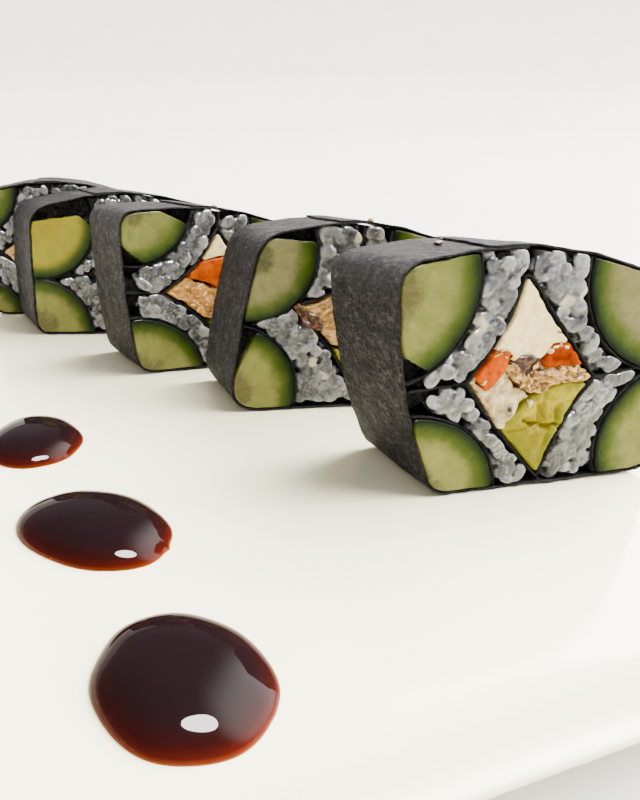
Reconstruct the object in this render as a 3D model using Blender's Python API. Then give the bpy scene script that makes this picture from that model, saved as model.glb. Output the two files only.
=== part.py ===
"""Five slices of a square maki roll in a slanting row on a rectangular platter, with drops of soy glaze.

Each slice is a "four seas" roll: a nori wrapper, a quarter of cucumber in each corner, a curved band of
rice behind each cucumber, and a diamond of filling in the middle. The slices were cut a little off square,
so their long edges lean back at an angle to the cut face.

Sizes are in millimetres and are turned into metres when a mesh is made. +Z is up, the row runs along Y,
and the origin is under the middle of the platter's foot.
"""

import math

import bmesh
import bpy

MM = 0.001

# The platter: a shallow rectangular dish with a narrow upturned rim and a foot ring.
PLATE_WIDTH = 220.0
PLATE_LENGTH = 300.0
PLATE_CORNER = 22.0
PLATE_WELL = 7.0
PLATE_RIM_HEIGHT = 6.0
PLATE_RIM_WIDTH = 15.6
PLATE_LIP = 3.4
PLATE_WALL = 4.6
FOOT_HEIGHT = 2.4
FOOT_INSET = 34.0
FOOT_WIDTH = 5.0
PLATE_CORNER_STEPS = 8
PLATE_CORNER_SHRINK = 0.75
PLATE_CORNER_LEAST = 5.0

# A gap that touching pieces keep, and the sheet of nori.
GAP = 0.3
NORI = 0.7
INNER_NORI = 0.8
SKIN_NORI = 1.0
FILLING_GAP = 0.2
FOLD_END_GAP = 0.5
FOLD_SET_BACK = 0.1

# The slices: how thick they were cut, and how many steps draw their curves.
SLICE_THICKNESS = 25.4
OVERLAP_STEP = 0.6
OVERLAP_EDGE = 0.5
OVERLAP_LENGTH = 26.0
EDGE_STEPS = 4
CORNER_STEPS = 4
ARC_STEPS = 9
SIDE_STEPS = 8
BOW_FULLNESS = 0.9
WRAPPER_SWELL = 0.35
RICE_BUMP = 0.75
RICE_BUMP_WAVES = (2.4, 0.9)
RICE_BUMP_SHARE = 0.3

# Outlines: the least edge, the sine of a bend that counts as straight, how far a mitre may reach,
# and how near to an edge's end a seam may start.
LEAST_EDGE = 0.3
NEARLY_STRAIGHT = 0.2
MITRE_REACH = 2.2
SEAM_MARGIN = 0.02

COLOURS = {
    "porcelain": ((0.86, 0.84, 0.80), 0.12),
    "nori": ((0.018, 0.017, 0.018), 0.55),
    "cucumber": ((0.36, 0.42, 0.12), 0.28),
    "rice": ((0.50, 0.51, 0.53), 0.35),
    "cream": ((0.82, 0.75, 0.62), 0.45),
    "carrot": ((0.80, 0.17, 0.02), 0.35),
    "fish": ((0.62, 0.40, 0.24), 0.60),
    "avocado": ((0.50, 0.46, 0.10), 0.40),
    "soy_glaze": ((0.020, 0.005, 0.004), 0.08),
}

# Each slice, seen from its cut face with X to the right and Z up, from its lower left corner.
# place and turn: where that corner stands and which way the face looks. bias: how far off square it was
# cut, in degrees. settle: the share of its height that it loses towards its back. trims: lines, each from
# one point to another, where a quarter of cucumber was cut short, with what is kept on its left.
# corners and rounds: lower left, lower right, upper right, upper left; bows: how far each edge bulges
# (bottom, right, top, left). tips: the filling's top, left, bottom and right points. sags: how far the
# filling's sides draw in, between those points. seams: where the folds between two quarters meet the
# wrapper (top, left, bottom, right). cucumbers: centre X, centre Z and radius of each quarter's skin,
# upper left, lower left, lower right, upper right.
SLICES = (
    {
        "name": "roll_1", "place": (19.6, -86.7), "turn": -7.0, "bias": 10.0, "settle": 0.046,
        "corners": ((0.0, 0.0), (53.0, 0.5), (46.5, 43.0), (-11.0, 48.0)),
        "rounds": (3.5, 6.0, 7.0, 4.5), "bows": (0.2, 1.6, 5.2, 2.4),
        "tips": ((15.0, 46.6), (4.9, 24.4), (24.5, 1.3), (33.9, 23.6)), "sags": (1.9, -0.5, 1.4, 0.3),
        "seams": ((15.8, 51.0), (-8.5, 23.4), (24.8, 0.0), (52.0, 25.5)),
        "cucumbers": ((-14.0, 44.0, 19.4), (-5.0, -1.0, 18.6), (55.5, 8.0, 18.0), (52.0, 47.0, 23.2)),
        "trims": ((((-9.4, 31.8), (-2.9, 27.6)),), (), (), ()), "overlap": 6.5,
    },
    {
        "name": "roll_2", "place": (-8.6, -30.4), "turn": -12.5, "bias": 12.0, "settle": 0.036,
        "corners": ((1.5, 0.0), (56.0, 0.3), (62.0, 42.0), (10.5, 45.5)),
        "rounds": (8.0, 6.0, 7.0, 5.0), "bows": (0.2, 1.4, 4.9, 1.0),
        "tips": ((36.0, 43.6), (18.2, 28.6), (36.5, 1.8), (49.0, 23.0)), "sags": (4.8, 1.6, 1.2, 1.5),
        "seams": ((36.4, 48.8), (5.2, 22.4), (36.6, 0.0), (58.5, 22.5)),
        "cucumbers": ((8.0, 41.0, 16.4), (2.0, 6.0, 17.2), (58.0, 1.0, 16.0), (62.0, 44.0, 18.2)),
        "trims": ((((25.0, 43.9), (8.0, 45.7)),), (((9.4, 21.4), (2.6, 7.4)),), (), ()), "overlap": 30.0,
    },
    {
        "name": "roll_3", "place": (-23.2, 5.9), "turn": -3.5, "bias": 15.0, "settle": 0.020,
        "corners": ((-1.0, 0.0), (53.0, 0.4), (49.5, 41.5), (-3.5, 48.0)),
        "rounds": (5.0, 5.5, 7.0, 4.0), "bows": (0.2, 1.3, 3.7, 1.2),
        "tips": ((24.6, 43.2), (7.2, 24.4), (27.0, 1.8), (41.5, 22.4)), "sags": (2.4, 3.2, 1.2, 1.4),
        "seams": ((25.0, 48.0), (-3.4, 25.2), (27.0, 0.0), (52.5, 22.5)),
        "cucumbers": ((0.0, 50.0, 16.7), (0.0, -2.0, 18.8), (54.5, 0.0, 17.6), (52.0, 43.0, 17.4)),
        "trims": ((((-4.2, 40.4), (2.6, 33.6)), ((17.0, 43.2), (8.0, 47.9))), (), (), ()), "overlap": 18.0,
    },
    {
        "name": "roll_4", "place": (-51.4, 60.0), "turn": -18.0, "bias": 28.0, "settle": 0.020,
        "corners": ((0.0, 0.0), (62.0, 0.3), (67.5, 43.0), (2.5, 43.5)),
        "rounds": (4.5, 6.0, 7.0, 6.0), "bows": (0.2, 1.2, 5.9, 0.6),
        "tips": ((37.5, 44.4), (21.0, 21.5), (38.0, 1.8), (52.5, 22.5)), "sags": (1.6, 1.4, 1.2, 1.5),
        "seams": ((37.8, 49.3), (0.9, 20.2), (38.0, 0.0), (66.0, 22.0)),
        "cucumbers": ((4.0, 40.0, 19.8), (0.8, 1.2, 19.0), (64.5, 1.0, 17.2), (68.0, 43.5, 18.6)),
        "trims": ((((25.6, 34.9), (18.6, 41.9)), ((20.0, 41.6), (1.0, 39.2))), (), (), ()), "overlap": 25.0,
    },
    {
        "name": "roll_5", "place": (-65.5, 93.5), "turn": -16.0, "bias": 10.0, "settle": 0.015,
        "corners": ((0.0, 0.0), (56.0, 0.3), (58.0, 44.0), (1.5, 46.5)),
        "rounds": (4.5, 5.5, 7.0, 4.5), "bows": (0.2, 1.3, 5.2, 1.2),
        "tips": ((25.6, 46.2), (4.6, 24.0), (29.0, 1.8), (46.5, 22.8)), "sags": (1.8, 1.4, 1.3, 1.4),
        "seams": ((26.0, 50.4), (0.2, 23.6), (29.0, 0.0), (58.0, 23.0)),
        "cucumbers": ((-3.0, 48.0, 16.3), (-4.0, -2.0, 15.8), (58.5, 0.0, 17.4), (59.0, 46.0, 18.0)),
        "trims": ((), (), (), ()), "overlap": 21.0,
    },
)

# How much each kind of piece stands back from (or proud of) the cut face: soft pieces are pressed in.
FACE_SET_BACK = {"cucumber": -0.25, "rice": 0.35, "cream": 0.1, "carrot": -0.2, "fish": 0.5, "avocado": 0.2}

# Rice pressed away from the wrapper where two quarters fold together: top, left, bottom, right seam.
RICE_END_GAPS = (0.9, 4.2, 1.1, 3.4)

# The front slice's filling, where its six pieces meet. Shares of a side run from its first tip.
CREAM_ON_LEFT = 0.66
CARROT_ON_LEFT = 0.91
CREAM_ON_LOWER_LEFT = 0.46
AVOCADO_ON_LOWER_RIGHT = 0.93
FISH_ON_RIGHT = 0.15
CARROT_ON_RIGHT = 0.37
FILLING_POINTS = {
    "carrot_tip": (13.7, 30.5),
    "cream_left": (14.7, 28.2),
    "cream_middle": (17.8, 28.5),
    "cream_right": (20.8, 28.3),
    "carrot_end": (22.9, 31.7),
    "carrot_heel": (21.4, 26.8),
    "carrot_foot": (9.5, 22.5),
    "carrot_side": (13.2, 26.8),
    "fish_left": (16.2, 23.2),
    "fish_low": (20.0, 20.6),
    "fish_right": (26.3, 22.8),
    "cream_foot": (15.6, 16.3),
}

# Drops of soy glaze: middle, width, length, height, and how the outline wanders.
DROPS = (
    {"place": (-40.2, -118.0), "width": 26.2, "length": 27.0, "height": 4.3, "wander": 0.025, "phase": 0.6},
    {"place": (-47.2, -75.1), "width": 30.0, "length": 25.6, "height": 4.2, "wander": 0.035, "phase": 2.1},
    {"place": (-56.3, -32.0), "width": 23.6, "length": 26.0, "height": 4.0, "wander": 0.030, "phase": 4.0},
)
DROP_TURN = -19.7
DROP_SECTORS = 24
DROP_RINGS = (1.0, 0.985, 0.93, 0.80, 0.58, 0.30)
DROP_FLATNESS = 2.6
DROP_FULLNESS = 0.62


def mix(a, b, share):
    """The point that lies a share of the way from a to b."""
    return (a[0] + (b[0] - a[0]) * share, a[1] + (b[1] - a[1]) * share)


def distance(a, b):
    return math.hypot(b[0] - a[0], b[1] - a[1])


def inward_normal(a, b):
    """The unit normal of edge a-b that points into an outline drawn anticlockwise."""
    length = max(distance(a, b), 1e-9)
    return (-(b[1] - a[1]) / length, (b[0] - a[0]) / length)


def inset(loop, gaps):
    """An anticlockwise outline with each edge moved inwards by its own gap."""
    moved = []
    for i, point in enumerate(loop):
        before = inward_normal(loop[i - 1], point)
        after = inward_normal(point, loop[(i + 1) % len(loop)])
        gap_before = gaps[i - 1]
        gap_after = gaps[i]
        cross = before[0] * after[1] - before[1] * after[0]
        if abs(cross) < NEARLY_STRAIGHT:
            middle = (before[0] + after[0], before[1] + after[1])
            length = max(math.hypot(*middle), 1e-9)
            step = (gap_before + gap_after) / 2 / length
            moved.append((point[0] + middle[0] * step, point[1] + middle[1] * step))
            continue
        x = (gap_before * after[1] - gap_after * before[1]) / cross
        z = (gap_after * before[0] - gap_before * after[0]) / cross
        reach = math.hypot(x, z)
        limit = MITRE_REACH * max(gap_before, gap_after)
        scale = min(1.0, limit / max(reach, 1e-9))
        moved.append((point[0] + x * scale, point[1] + z * scale))
    return moved


def area(loop):
    return sum(a[0] * b[1] - b[0] * a[1] for a, b in zip(loop, loop[1:] + loop[:1])) / 2


def edges_cross(a, b, c, d):
    """Where edge a-b crosses edge c-d, or None."""
    turn = (b[0] - a[0]) * (d[1] - c[1]) - (b[1] - a[1]) * (d[0] - c[0])
    if turn == 0.0:
        return None
    first = ((c[0] - a[0]) * (d[1] - c[1]) - (c[1] - a[1]) * (d[0] - c[0])) / turn
    second = ((c[0] - a[0]) * (b[1] - a[1]) - (c[1] - a[1]) * (b[0] - a[0])) / turn
    return mix(a, b, first) if 0.0 < first < 1.0 and 0.0 < second < 1.0 else None


def first_crossing(loop):
    """The first two edges of an outline that cross, and where, or None."""
    count = len(loop)
    for i in range(count):
        for j in range(i + 2, count - (i == 0)):
            place = edges_cross(loop[i], loop[i + 1], loop[j], loop[(j + 1) % count])
            if place:
                return i, j, place
    return None


def clean_outline(loop):
    """An outline without the small loops that it makes where it crosses itself, and without tiny edges."""
    found = first_crossing(loop)
    while found:
        i, j, place = found
        loop = max([place] + loop[i + 1 : j + 1], [place] + loop[j + 1 :] + loop[: i + 1], key=area)
        found = first_crossing(loop)
    kept = []
    for point in loop:
        if not kept or distance(kept[-1], point) > LEAST_EDGE:
            kept.append(point)
    if distance(kept[-1], kept[0]) < LEAST_EDGE:
        kept.pop()
    return kept


def rounded_outline(corners, rounds, bows):
    """A four-sided outline with bulging edges and rounded corners, anticlockwise from the lower left."""
    loop = []
    edges = []
    for i, start in enumerate(corners):
        end = corners[(i + 1) % 4]
        normal = inward_normal(start, end)
        length = distance(start, end)
        first = rounds[i] / length
        last = 1.0 - rounds[(i + 1) % 4] / length
        points = []
        for step in range(EDGE_STEPS + 1):
            share = first + (last - first) * step / EDGE_STEPS
            bow = bows[i] * math.sin(math.pi * share) ** BOW_FULLNESS
            x, z = mix(start, end, share)
            points.append((x - normal[0] * bow, z - normal[1] * bow))
        edges.append(points)
    for i, points in enumerate(edges):
        start, end = edges[i - 1][-1], points[0]
        for step in range(1, CORNER_STEPS):
            share = step / CORNER_STEPS
            loop.append(mix(mix(start, corners[i], share), mix(corners[i], end, share), share))
        loop.extend(points)
    return loop


def nearest_on(loop, target):
    """The outline's point nearest to a target, and the number of the edge that it lies on."""
    best = None
    for i, start in enumerate(loop):
        end = loop[(i + 1) % len(loop)]
        run = (end[0] - start[0], end[1] - start[1])
        share = (target[0] - start[0]) * run[0] + (target[1] - start[1]) * run[1]
        share = share / max(run[0] ** 2 + run[1] ** 2, 1e-9)
        share = min(max(share, SEAM_MARGIN), 1.0 - SEAM_MARGIN)
        point = mix(start, end, share)
        if best is None or distance(point, target) < best[0]:
            best = (distance(point, target), point, i)
    return best[1], best[2]


def wall_between(loop, first, last):
    """The stretch of an outline from one seam to the next, going anticlockwise."""
    points = [first[0]]
    i = first[1]
    while i != last[1]:
        i = (i + 1) % len(loop)
        points.append(loop[i])
    points.append(last[0])
    return points


def sagging_side(start, end, sag):
    """The line between two tips of the filling, drawn in towards its middle."""
    normal = inward_normal(start, end)
    points = []
    for step in range(SIDE_STEPS + 1):
        share = step / SIDE_STEPS
        pull = sag * math.sin(math.pi * share)
        x, z = mix(start, end, share)
        points.append((x + normal[0] * pull, z + normal[1] * pull))
    return points


def crossing(inside, outside, centre, radius):
    """Where the edge from a point inside a circle to one outside it meets the circle."""
    low, high = 0.0, 1.0
    for _ in range(30):
        middle = (low + high) / 2
        if distance(mix(inside, outside, middle), centre) < radius:
            low = middle
        else:
            high = middle
    return mix(inside, outside, low)


def split_by_circle(cell, corner_index, centre, radius):
    """Walks both ways round a cell from its corner: what lies inside the circle, and what lies outside."""
    count = len(cell)
    forward = corner_index
    while distance(cell[(forward + 1) % count], centre) < radius:
        forward += 1
    back = corner_index
    while distance(cell[(back - 1) % count], centre) < radius:
        back -= 1
    leave = crossing(cell[forward % count], cell[(forward + 1) % count], centre, radius)
    enter = crossing(cell[back % count], cell[(back - 1) % count], centre, radius)
    inner = [enter] + [cell[i % count] for i in range(back, forward + 1)] + [leave]
    outer = [leave] + [cell[i % count] for i in range(forward + 1, back + count)] + [enter]
    return inner, outer


def arc_points(start, end, centre, steps):
    """Points on the circle round a centre, the short way from start to end, without the two ends."""
    first = math.atan2(start[1] - centre[1], start[0] - centre[0])
    last = math.atan2(end[1] - centre[1], end[0] - centre[0])
    sweep = (last - first + math.pi) % (2 * math.pi) - math.pi
    first_radius = distance(start, centre)
    last_radius = distance(end, centre)
    points = []
    for step in range(1, steps):
        share = step / steps
        radius = first_radius + (last_radius - first_radius) * share
        angle = first + sweep * share
        points.append((centre[0] + radius * math.cos(angle), centre[1] + radius * math.sin(angle)))
    return points


def off_line(point, line):
    """How far a point lies from a run of points joined by straight lines."""
    best = None
    for start, end in zip(line, line[1:]):
        run = (end[0] - start[0], end[1] - start[1])
        share = (point[0] - start[0]) * run[0] + (point[1] - start[1]) * run[1]
        share = min(max(share / max(run[0] ** 2 + run[1] ** 2, 1e-9), 0.0), 1.0)
        reach = distance(point, mix(start, end, share))
        best = reach if best is None else min(best, reach)
    return best


def trimmed(loop, start, end):
    """What an outline keeps on the left of a straight cut."""
    def side_of(point):
        return (end[0] - start[0]) * (point[1] - start[1]) - (end[1] - start[1]) * (point[0] - start[0])

    kept = []
    for point, follower in zip(loop, loop[1:] + loop[:1]):
        here, there = side_of(point), side_of(follower)
        if here >= 0:
            kept.append(point)
        if here * there < 0:
            kept.append(mix(point, follower, here / (here - there)))
    return kept


def rice_bump(number, phase):
    """How far the grains at one place on a band's long edge stop short of its neighbours."""
    fast, slow = RICE_BUMP_WAVES
    return RICE_BUMP * (0.5 + 0.5 * math.sin(fast * number + phase) * math.cos(slow * number + 2 * phase))


def make_material(kind):
    colour, roughness = COLOURS[kind]
    material = bpy.data.materials.new(kind)
    material.use_nodes = True
    shader = material.node_tree.nodes["Principled BSDF"]
    shader.inputs["Base Color"].default_value = (*colour, 1.0)
    shader.inputs["Roughness"].default_value = roughness
    shader.inputs["Metallic"].default_value = 0.0
    return material


def add_object(name, mesh, kind, smooth_angle=35.0):
    """Puts a finished mesh in the scene with its own material."""
    mesh.materials.append(make_material(kind))
    mesh.shade_smooth()
    mesh.set_sharp_from_angle(angle=math.radians(smooth_angle))
    piece = bpy.data.objects.new(name, mesh)
    bpy.context.scene.collection.objects.link(piece)
    return piece


def slice_point(item, x, z, depth):
    """A place in a slice, in metres in its own frame: the back lies to one side, and a little lower."""
    lean = math.tan(math.radians(item["bias"]))
    height = z * (1.0 - item["settle"] * depth / SLICE_THICKNESS)
    return ((x - depth * lean) * MM, depth * MM, height * MM)


def place_in_slice(item, piece):
    """Stands a piece on the platter with the rest of its slice."""
    piece.location = (item["place"][0] * MM, item["place"][1] * MM, (PLATE_WELL + GAP) * MM)
    piece.rotation_euler = (0.0, 0.0, math.radians(item["turn"]))
    return piece


def solid_slab(item, name, loop, kind):
    """A piece of one outline that runs through the slice from its front face to its back one."""
    loop = clean_outline(loop)
    shy = FACE_SET_BACK[kind]
    grid = bmesh.new()
    front = [grid.verts.new(slice_point(item, x, z, shy)) for x, z in loop]
    back = [grid.verts.new(slice_point(item, x, z, SLICE_THICKNESS - shy)) for x, z in loop]
    grid.faces.new(front)
    grid.faces.new(list(reversed(back)))
    for i, corner in enumerate(front):
        j = (i + 1) % len(front)
        grid.faces.new((corner, back[i], back[j], front[j]))
    mesh = bpy.data.meshes.new(name)
    grid.to_mesh(mesh)
    grid.free()
    return place_in_slice(item, add_object(f"{item['name']}_{name}", mesh, kind))


def wrapper_outlines(item):
    """The nori's outer and inner lines. Its loose end lies on the top edge as a step that dies away."""
    line = rounded_outline(item["corners"], item["rounds"], item["bows"])
    half_height = 0.5 * item["corners"][3][1]
    edge = item["overlap"]
    outer = []
    for start, end in zip(line, line[1:] + line[:1]):
        outer.append(start)
        if start[1] > half_height and start[0] > edge >= end[0]:
            share = (start[0] - edge) / (start[0] - end[0])
            outer.append(mix(start, end, share))
            outer.append(mix(start, end, share + OVERLAP_EDGE / distance(start, end)))
    inner = inset(outer, [NORI] * len(outer))
    raised = []
    for x, z in outer:
        past = (x - edge) / OVERLAP_LENGTH
        covered = z > half_height and -1e-6 <= past < 1.0
        raised.append((x, z + OVERLAP_STEP * (1.0 - past)) if covered else (x, z))
    return raised, inner


def make_wrapper(item, outer, inner):
    """The nori round the slice: a closed band, open at both cut faces."""
    grid = bmesh.new()
    depths = (0.0, SLICE_THICKNESS * 0.5, SLICE_THICKNESS)
    swell = (0.0, WRAPPER_SWELL, 0.0)
    centre = (sum(p[0] for p in outer) / len(outer), sum(p[1] for p in outer) / len(outer))
    rings = []
    for depth, bulge in zip(depths, swell):
        for loop in (outer, inner):
            ring = []
            for x, z in loop:
                out = max(distance((x, z), centre), 1e-9)
                x += (x - centre[0]) / out * bulge
                z = max(z + (z - centre[1]) / out * bulge, min(z, NORI))
                ring.append(grid.verts.new(slice_point(item, x, z, depth)))
            rings.append(ring)
    count = len(outer)
    for i in range(count):
        j = (i + 1) % count
        for near in (0, 2):
            grid.faces.new((rings[near][i], rings[near + 2][i], rings[near + 2][j], rings[near][j]))
            grid.faces.new((rings[near + 1][j], rings[near + 3][j], rings[near + 3][i], rings[near + 1][i]))
        grid.faces.new((rings[0][i], rings[0][j], rings[1][j], rings[1][i]))
        grid.faces.new((rings[4][j], rings[4][i], rings[5][i], rings[5][j]))
    mesh = bpy.data.meshes.new("nori")
    grid.to_mesh(mesh)
    grid.free()
    return place_in_slice(item, add_object(f"{item['name']}_nori", mesh, "nori"))


def make_inner_nori(item, sides, seams):
    """The nori round the filling: a thin diamond with a fold running out to the wrapper at each tip."""
    half = INNER_NORI / 2
    line = [point for side in sides for point in side[:-1]]
    inner = inset(line, [half] * len(line))
    outer = inset(line, [-half] * len(line))
    grid = bmesh.new()

    def ring(depth):
        inside = [grid.verts.new(slice_point(item, x, z, depth)) for x, z in inner]
        outside = {}
        legs = []
        for k, side in enumerate(sides):
            tip, seam = side[0], seams[k]
            end = mix(seam, tip, FOLD_END_GAP / max(distance(seam, tip), 1e-9))
            across = inward_normal(tip, end)
            left = (end[0] - across[0] * half, end[1] - across[1] * half)
            right = (end[0] + across[0] * half, end[1] + across[1] * half)
            root_left = (tip[0] - across[0] * half, tip[1] - across[1] * half)
            root_right = (tip[0] + across[0] * half, tip[1] + across[1] * half)
            points = (root_left, left, right, root_right)
            legs.append([grid.verts.new(slice_point(item, x, z, depth)) for x, z in points])
            for step in range(1, SIDE_STEPS):
                i = k * SIDE_STEPS + step
                outside[i] = grid.verts.new(slice_point(item, *outer[i], depth))
        return inside, outside, legs

    front, back = ring(FOLD_SET_BACK), ring(SLICE_THICKNESS - FOLD_SET_BACK)
    rims = []
    for inside, outside, legs in (front, back):
        rim = []
        for k in range(4):
            rim.extend(legs[k])
            rim.extend(outside[k * SIDE_STEPS + step] for step in range(1, SIDE_STEPS))
        rims.append(rim)
        flip = inside is back[0]
        for k in range(4):
            tip = inside[k * SIDE_STEPS]
            stretch = [legs[k][3]] + [outside[k * SIDE_STEPS + s] for s in range(1, SIDE_STEPS)]
            stretch.append(legs[(k + 1) % 4][0])
            caps = [(legs[k][0], legs[k][1], legs[k][2], legs[k][3], tip)]
            for s in range(SIDE_STEPS):
                a = inside[k * SIDE_STEPS + s]
                b = inside[(k * SIDE_STEPS + s + 1) % len(inside)]
                caps.append((stretch[s], stretch[s + 1], b, a))
            for cap in caps:
                grid.faces.new(tuple(reversed(cap)) if flip else cap)
    for i in range(len(rims[0])):
        j = (i + 1) % len(rims[0])
        grid.faces.new((rims[0][i], rims[1][i], rims[1][j], rims[0][j]))
    for i in range(len(front[0])):
        j = (i + 1) % len(front[0])
        grid.faces.new((front[0][j], back[0][j], back[0][i], front[0][i]))
    bmesh.ops.recalc_face_normals(grid, faces=grid.faces)
    mesh = bpy.data.meshes.new("inner_nori")
    grid.to_mesh(mesh)
    grid.free()
    return place_in_slice(item, add_object(f"{item['name']}_inner_nori", mesh, "nori"))


def make_quarter(item, number, wall, side, corner):
    """One corner of a slice: the quarter of cucumber, and the band of rice behind its skin."""
    cell = wall + list(reversed(side))
    corner_index = min(range(len(wall)), key=lambda i: distance(wall[i], corner))
    cx, cz, radius = item["cucumbers"][number]
    centre = (cx, cz)

    beside = INNER_NORI / 2 + GAP
    fold = [wall[-1]] + list(reversed(side)) + [wall[0]]

    core, _ = split_by_circle(cell, corner_index, centre, radius)
    skin = arc_points(core[-1], core[0], centre, ARC_STEPS)
    cucumber = core + skin
    gaps = []
    for start, end in zip(core, core[1:]):
        middle = mix(start, end, 0.5)
        gaps.append(GAP if off_line(middle, wall) < off_line(middle, fold) else beside)
    gaps += [0.0] * (len(skin) + 1)
    cucumber = inset(cucumber, gaps)
    for start, end in item["trims"][number]:
        cucumber = trimmed(cucumber, start, end)
    solid_slab(item, f"cucumber_{number + 1}", cucumber, "cucumber")

    _, rest = split_by_circle(cell, corner_index, centre, radius + SKIN_NORI + GAP)
    hollow = arc_points(rest[-1], rest[0], centre, ARC_STEPS + 4)
    band = rest + hollow
    gaps = []
    for i, point in enumerate(band):
        middle = mix(point, band[(i + 1) % len(band)], 0.5)
        if i >= len(rest) - 1:
            room = RICE_BUMP_SHARE * (off_line(middle, fold) - beside)
            gaps.append(min(rice_bump(i, number + item["turn"]), room))
        elif off_line(middle, wall) < off_line(middle, fold):
            near = number if distance(middle, wall[0]) < distance(middle, wall[-1]) else (number + 1) % 4
            gaps.append(RICE_END_GAPS[near])
        else:
            room = RICE_BUMP_SHARE * (off_line(middle, hollow) - beside)
            gaps.append(beside + min(rice_bump(i, 2 * number + item["turn"]), room))
    solid_slab(item, f"rice_{number + 1}", inset(band, gaps), "rice")


def part_of_side(side, first, last):
    """The points of a filling's side between two shares of its length, with both ends."""
    def at(share):
        place = share * (len(side) - 1)
        index = min(int(place), len(side) - 2)
        return mix(side[index], side[index + 1], place - index)

    inner = [side[i] for i in range(len(side)) if first < i / (len(side) - 1) < last]
    return [at(first)] + inner + [at(last)]


def make_front_filling(item, sides):
    """The six pieces that fill the front slice: cream cheese, carrot, fish and avocado."""
    p = FILLING_POINTS
    left, lower_left, lower_right, right = sides
    shapes = {
        "cream_top": part_of_side(right, CARROT_ON_RIGHT, 1.0)[:-1]
        + part_of_side(left, 0.0, CREAM_ON_LEFT)
        + [p["carrot_tip"], p["cream_left"], p["cream_middle"], p["cream_right"], p["carrot_end"]],
        "carrot_left": part_of_side(left, CREAM_ON_LEFT, CARROT_ON_LEFT)
        + [p["carrot_foot"], p["carrot_side"], p["carrot_tip"]],
        "carrot_right": [p["carrot_end"], p["cream_right"], p["carrot_heel"]]
        + part_of_side(right, FISH_ON_RIGHT, CARROT_ON_RIGHT),
        "fish": [p["carrot_tip"], p["carrot_side"], p["fish_left"], p["fish_low"], p["fish_right"]]
        + part_of_side(lower_right, AVOCADO_ON_LOWER_RIGHT, 1.0)[:-1]
        + part_of_side(right, 0.0, FISH_ON_RIGHT)
        + [p["carrot_heel"], p["cream_right"], p["cream_middle"], p["cream_left"]],
        "cream_low": part_of_side(left, CARROT_ON_LEFT, 1.0)[:-1]
        + part_of_side(lower_left, 0.0, CREAM_ON_LOWER_LEFT)
        + [p["cream_foot"], p["fish_low"], p["fish_left"], p["carrot_side"], p["carrot_foot"]],
        "avocado": part_of_side(lower_left, CREAM_ON_LOWER_LEFT, 1.0)[:-1]
        + part_of_side(lower_right, 0.0, AVOCADO_ON_LOWER_RIGHT)
        + [p["fish_right"], p["fish_low"], p["cream_foot"]],
    }
    for name, loop in shapes.items():
        solid_slab(item, name, inset(loop, [FILLING_GAP] * len(loop)), name.split("_")[0])


def make_slice(item):
    """One slice of the roll, with each layer as a piece of its own."""
    outer, inner = wrapper_outlines(item)
    make_wrapper(item, outer, inner)
    tips = item["tips"]
    seams = [nearest_on(inner, seam) for seam in item["seams"]]
    sides = [sagging_side(tips[k], tips[(k + 1) % 4], item["sags"][k]) for k in range(4)]
    lower_left, lower_right, upper_right, upper_left = item["corners"]
    corners = (upper_left, lower_left, lower_right, upper_right)
    for k in range(4):
        wall = wall_between(inner, seams[k], seams[(k + 1) % 4])
        make_quarter(item, k, wall, sides[k], corners[k])
    line = [point for side in sides for point in side[:-1]]
    middle = inset(line, [INNER_NORI / 2 + GAP] * len(line))
    if item is SLICES[0]:
        make_inner_nori(item, sides, [seam[0] for seam in seams])
        ring = middle + middle[:1]
        inside = [ring[k * SIDE_STEPS : (k + 1) * SIDE_STEPS + 1] for k in range(4)]
        make_front_filling(item, inside)
    else:
        solid_slab(item, "filling", middle, "fish")


def plate_ring(grid, indent, height):
    """One rounded rectangle of the platter's shape, so far in from its edge and so high."""
    half_width = PLATE_WIDTH / 2 - indent
    half_length = PLATE_LENGTH / 2 - indent
    radius = max(PLATE_CORNER - indent * PLATE_CORNER_SHRINK, PLATE_CORNER_LEAST)
    ring = []
    for k in range(4):
        sign_x = 1 if k in (0, 3) else -1
        sign_y = 1 if k in (0, 1) else -1
        for step in range(PLATE_CORNER_STEPS + 1):
            angle = math.radians(90.0 * k + 90.0 * step / PLATE_CORNER_STEPS)
            x = sign_x * (half_width - radius) + radius * math.cos(angle)
            y = sign_y * (half_length - radius) + radius * math.sin(angle)
            ring.append(grid.verts.new((x * MM, y * MM, height * MM)))
    return ring


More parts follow.
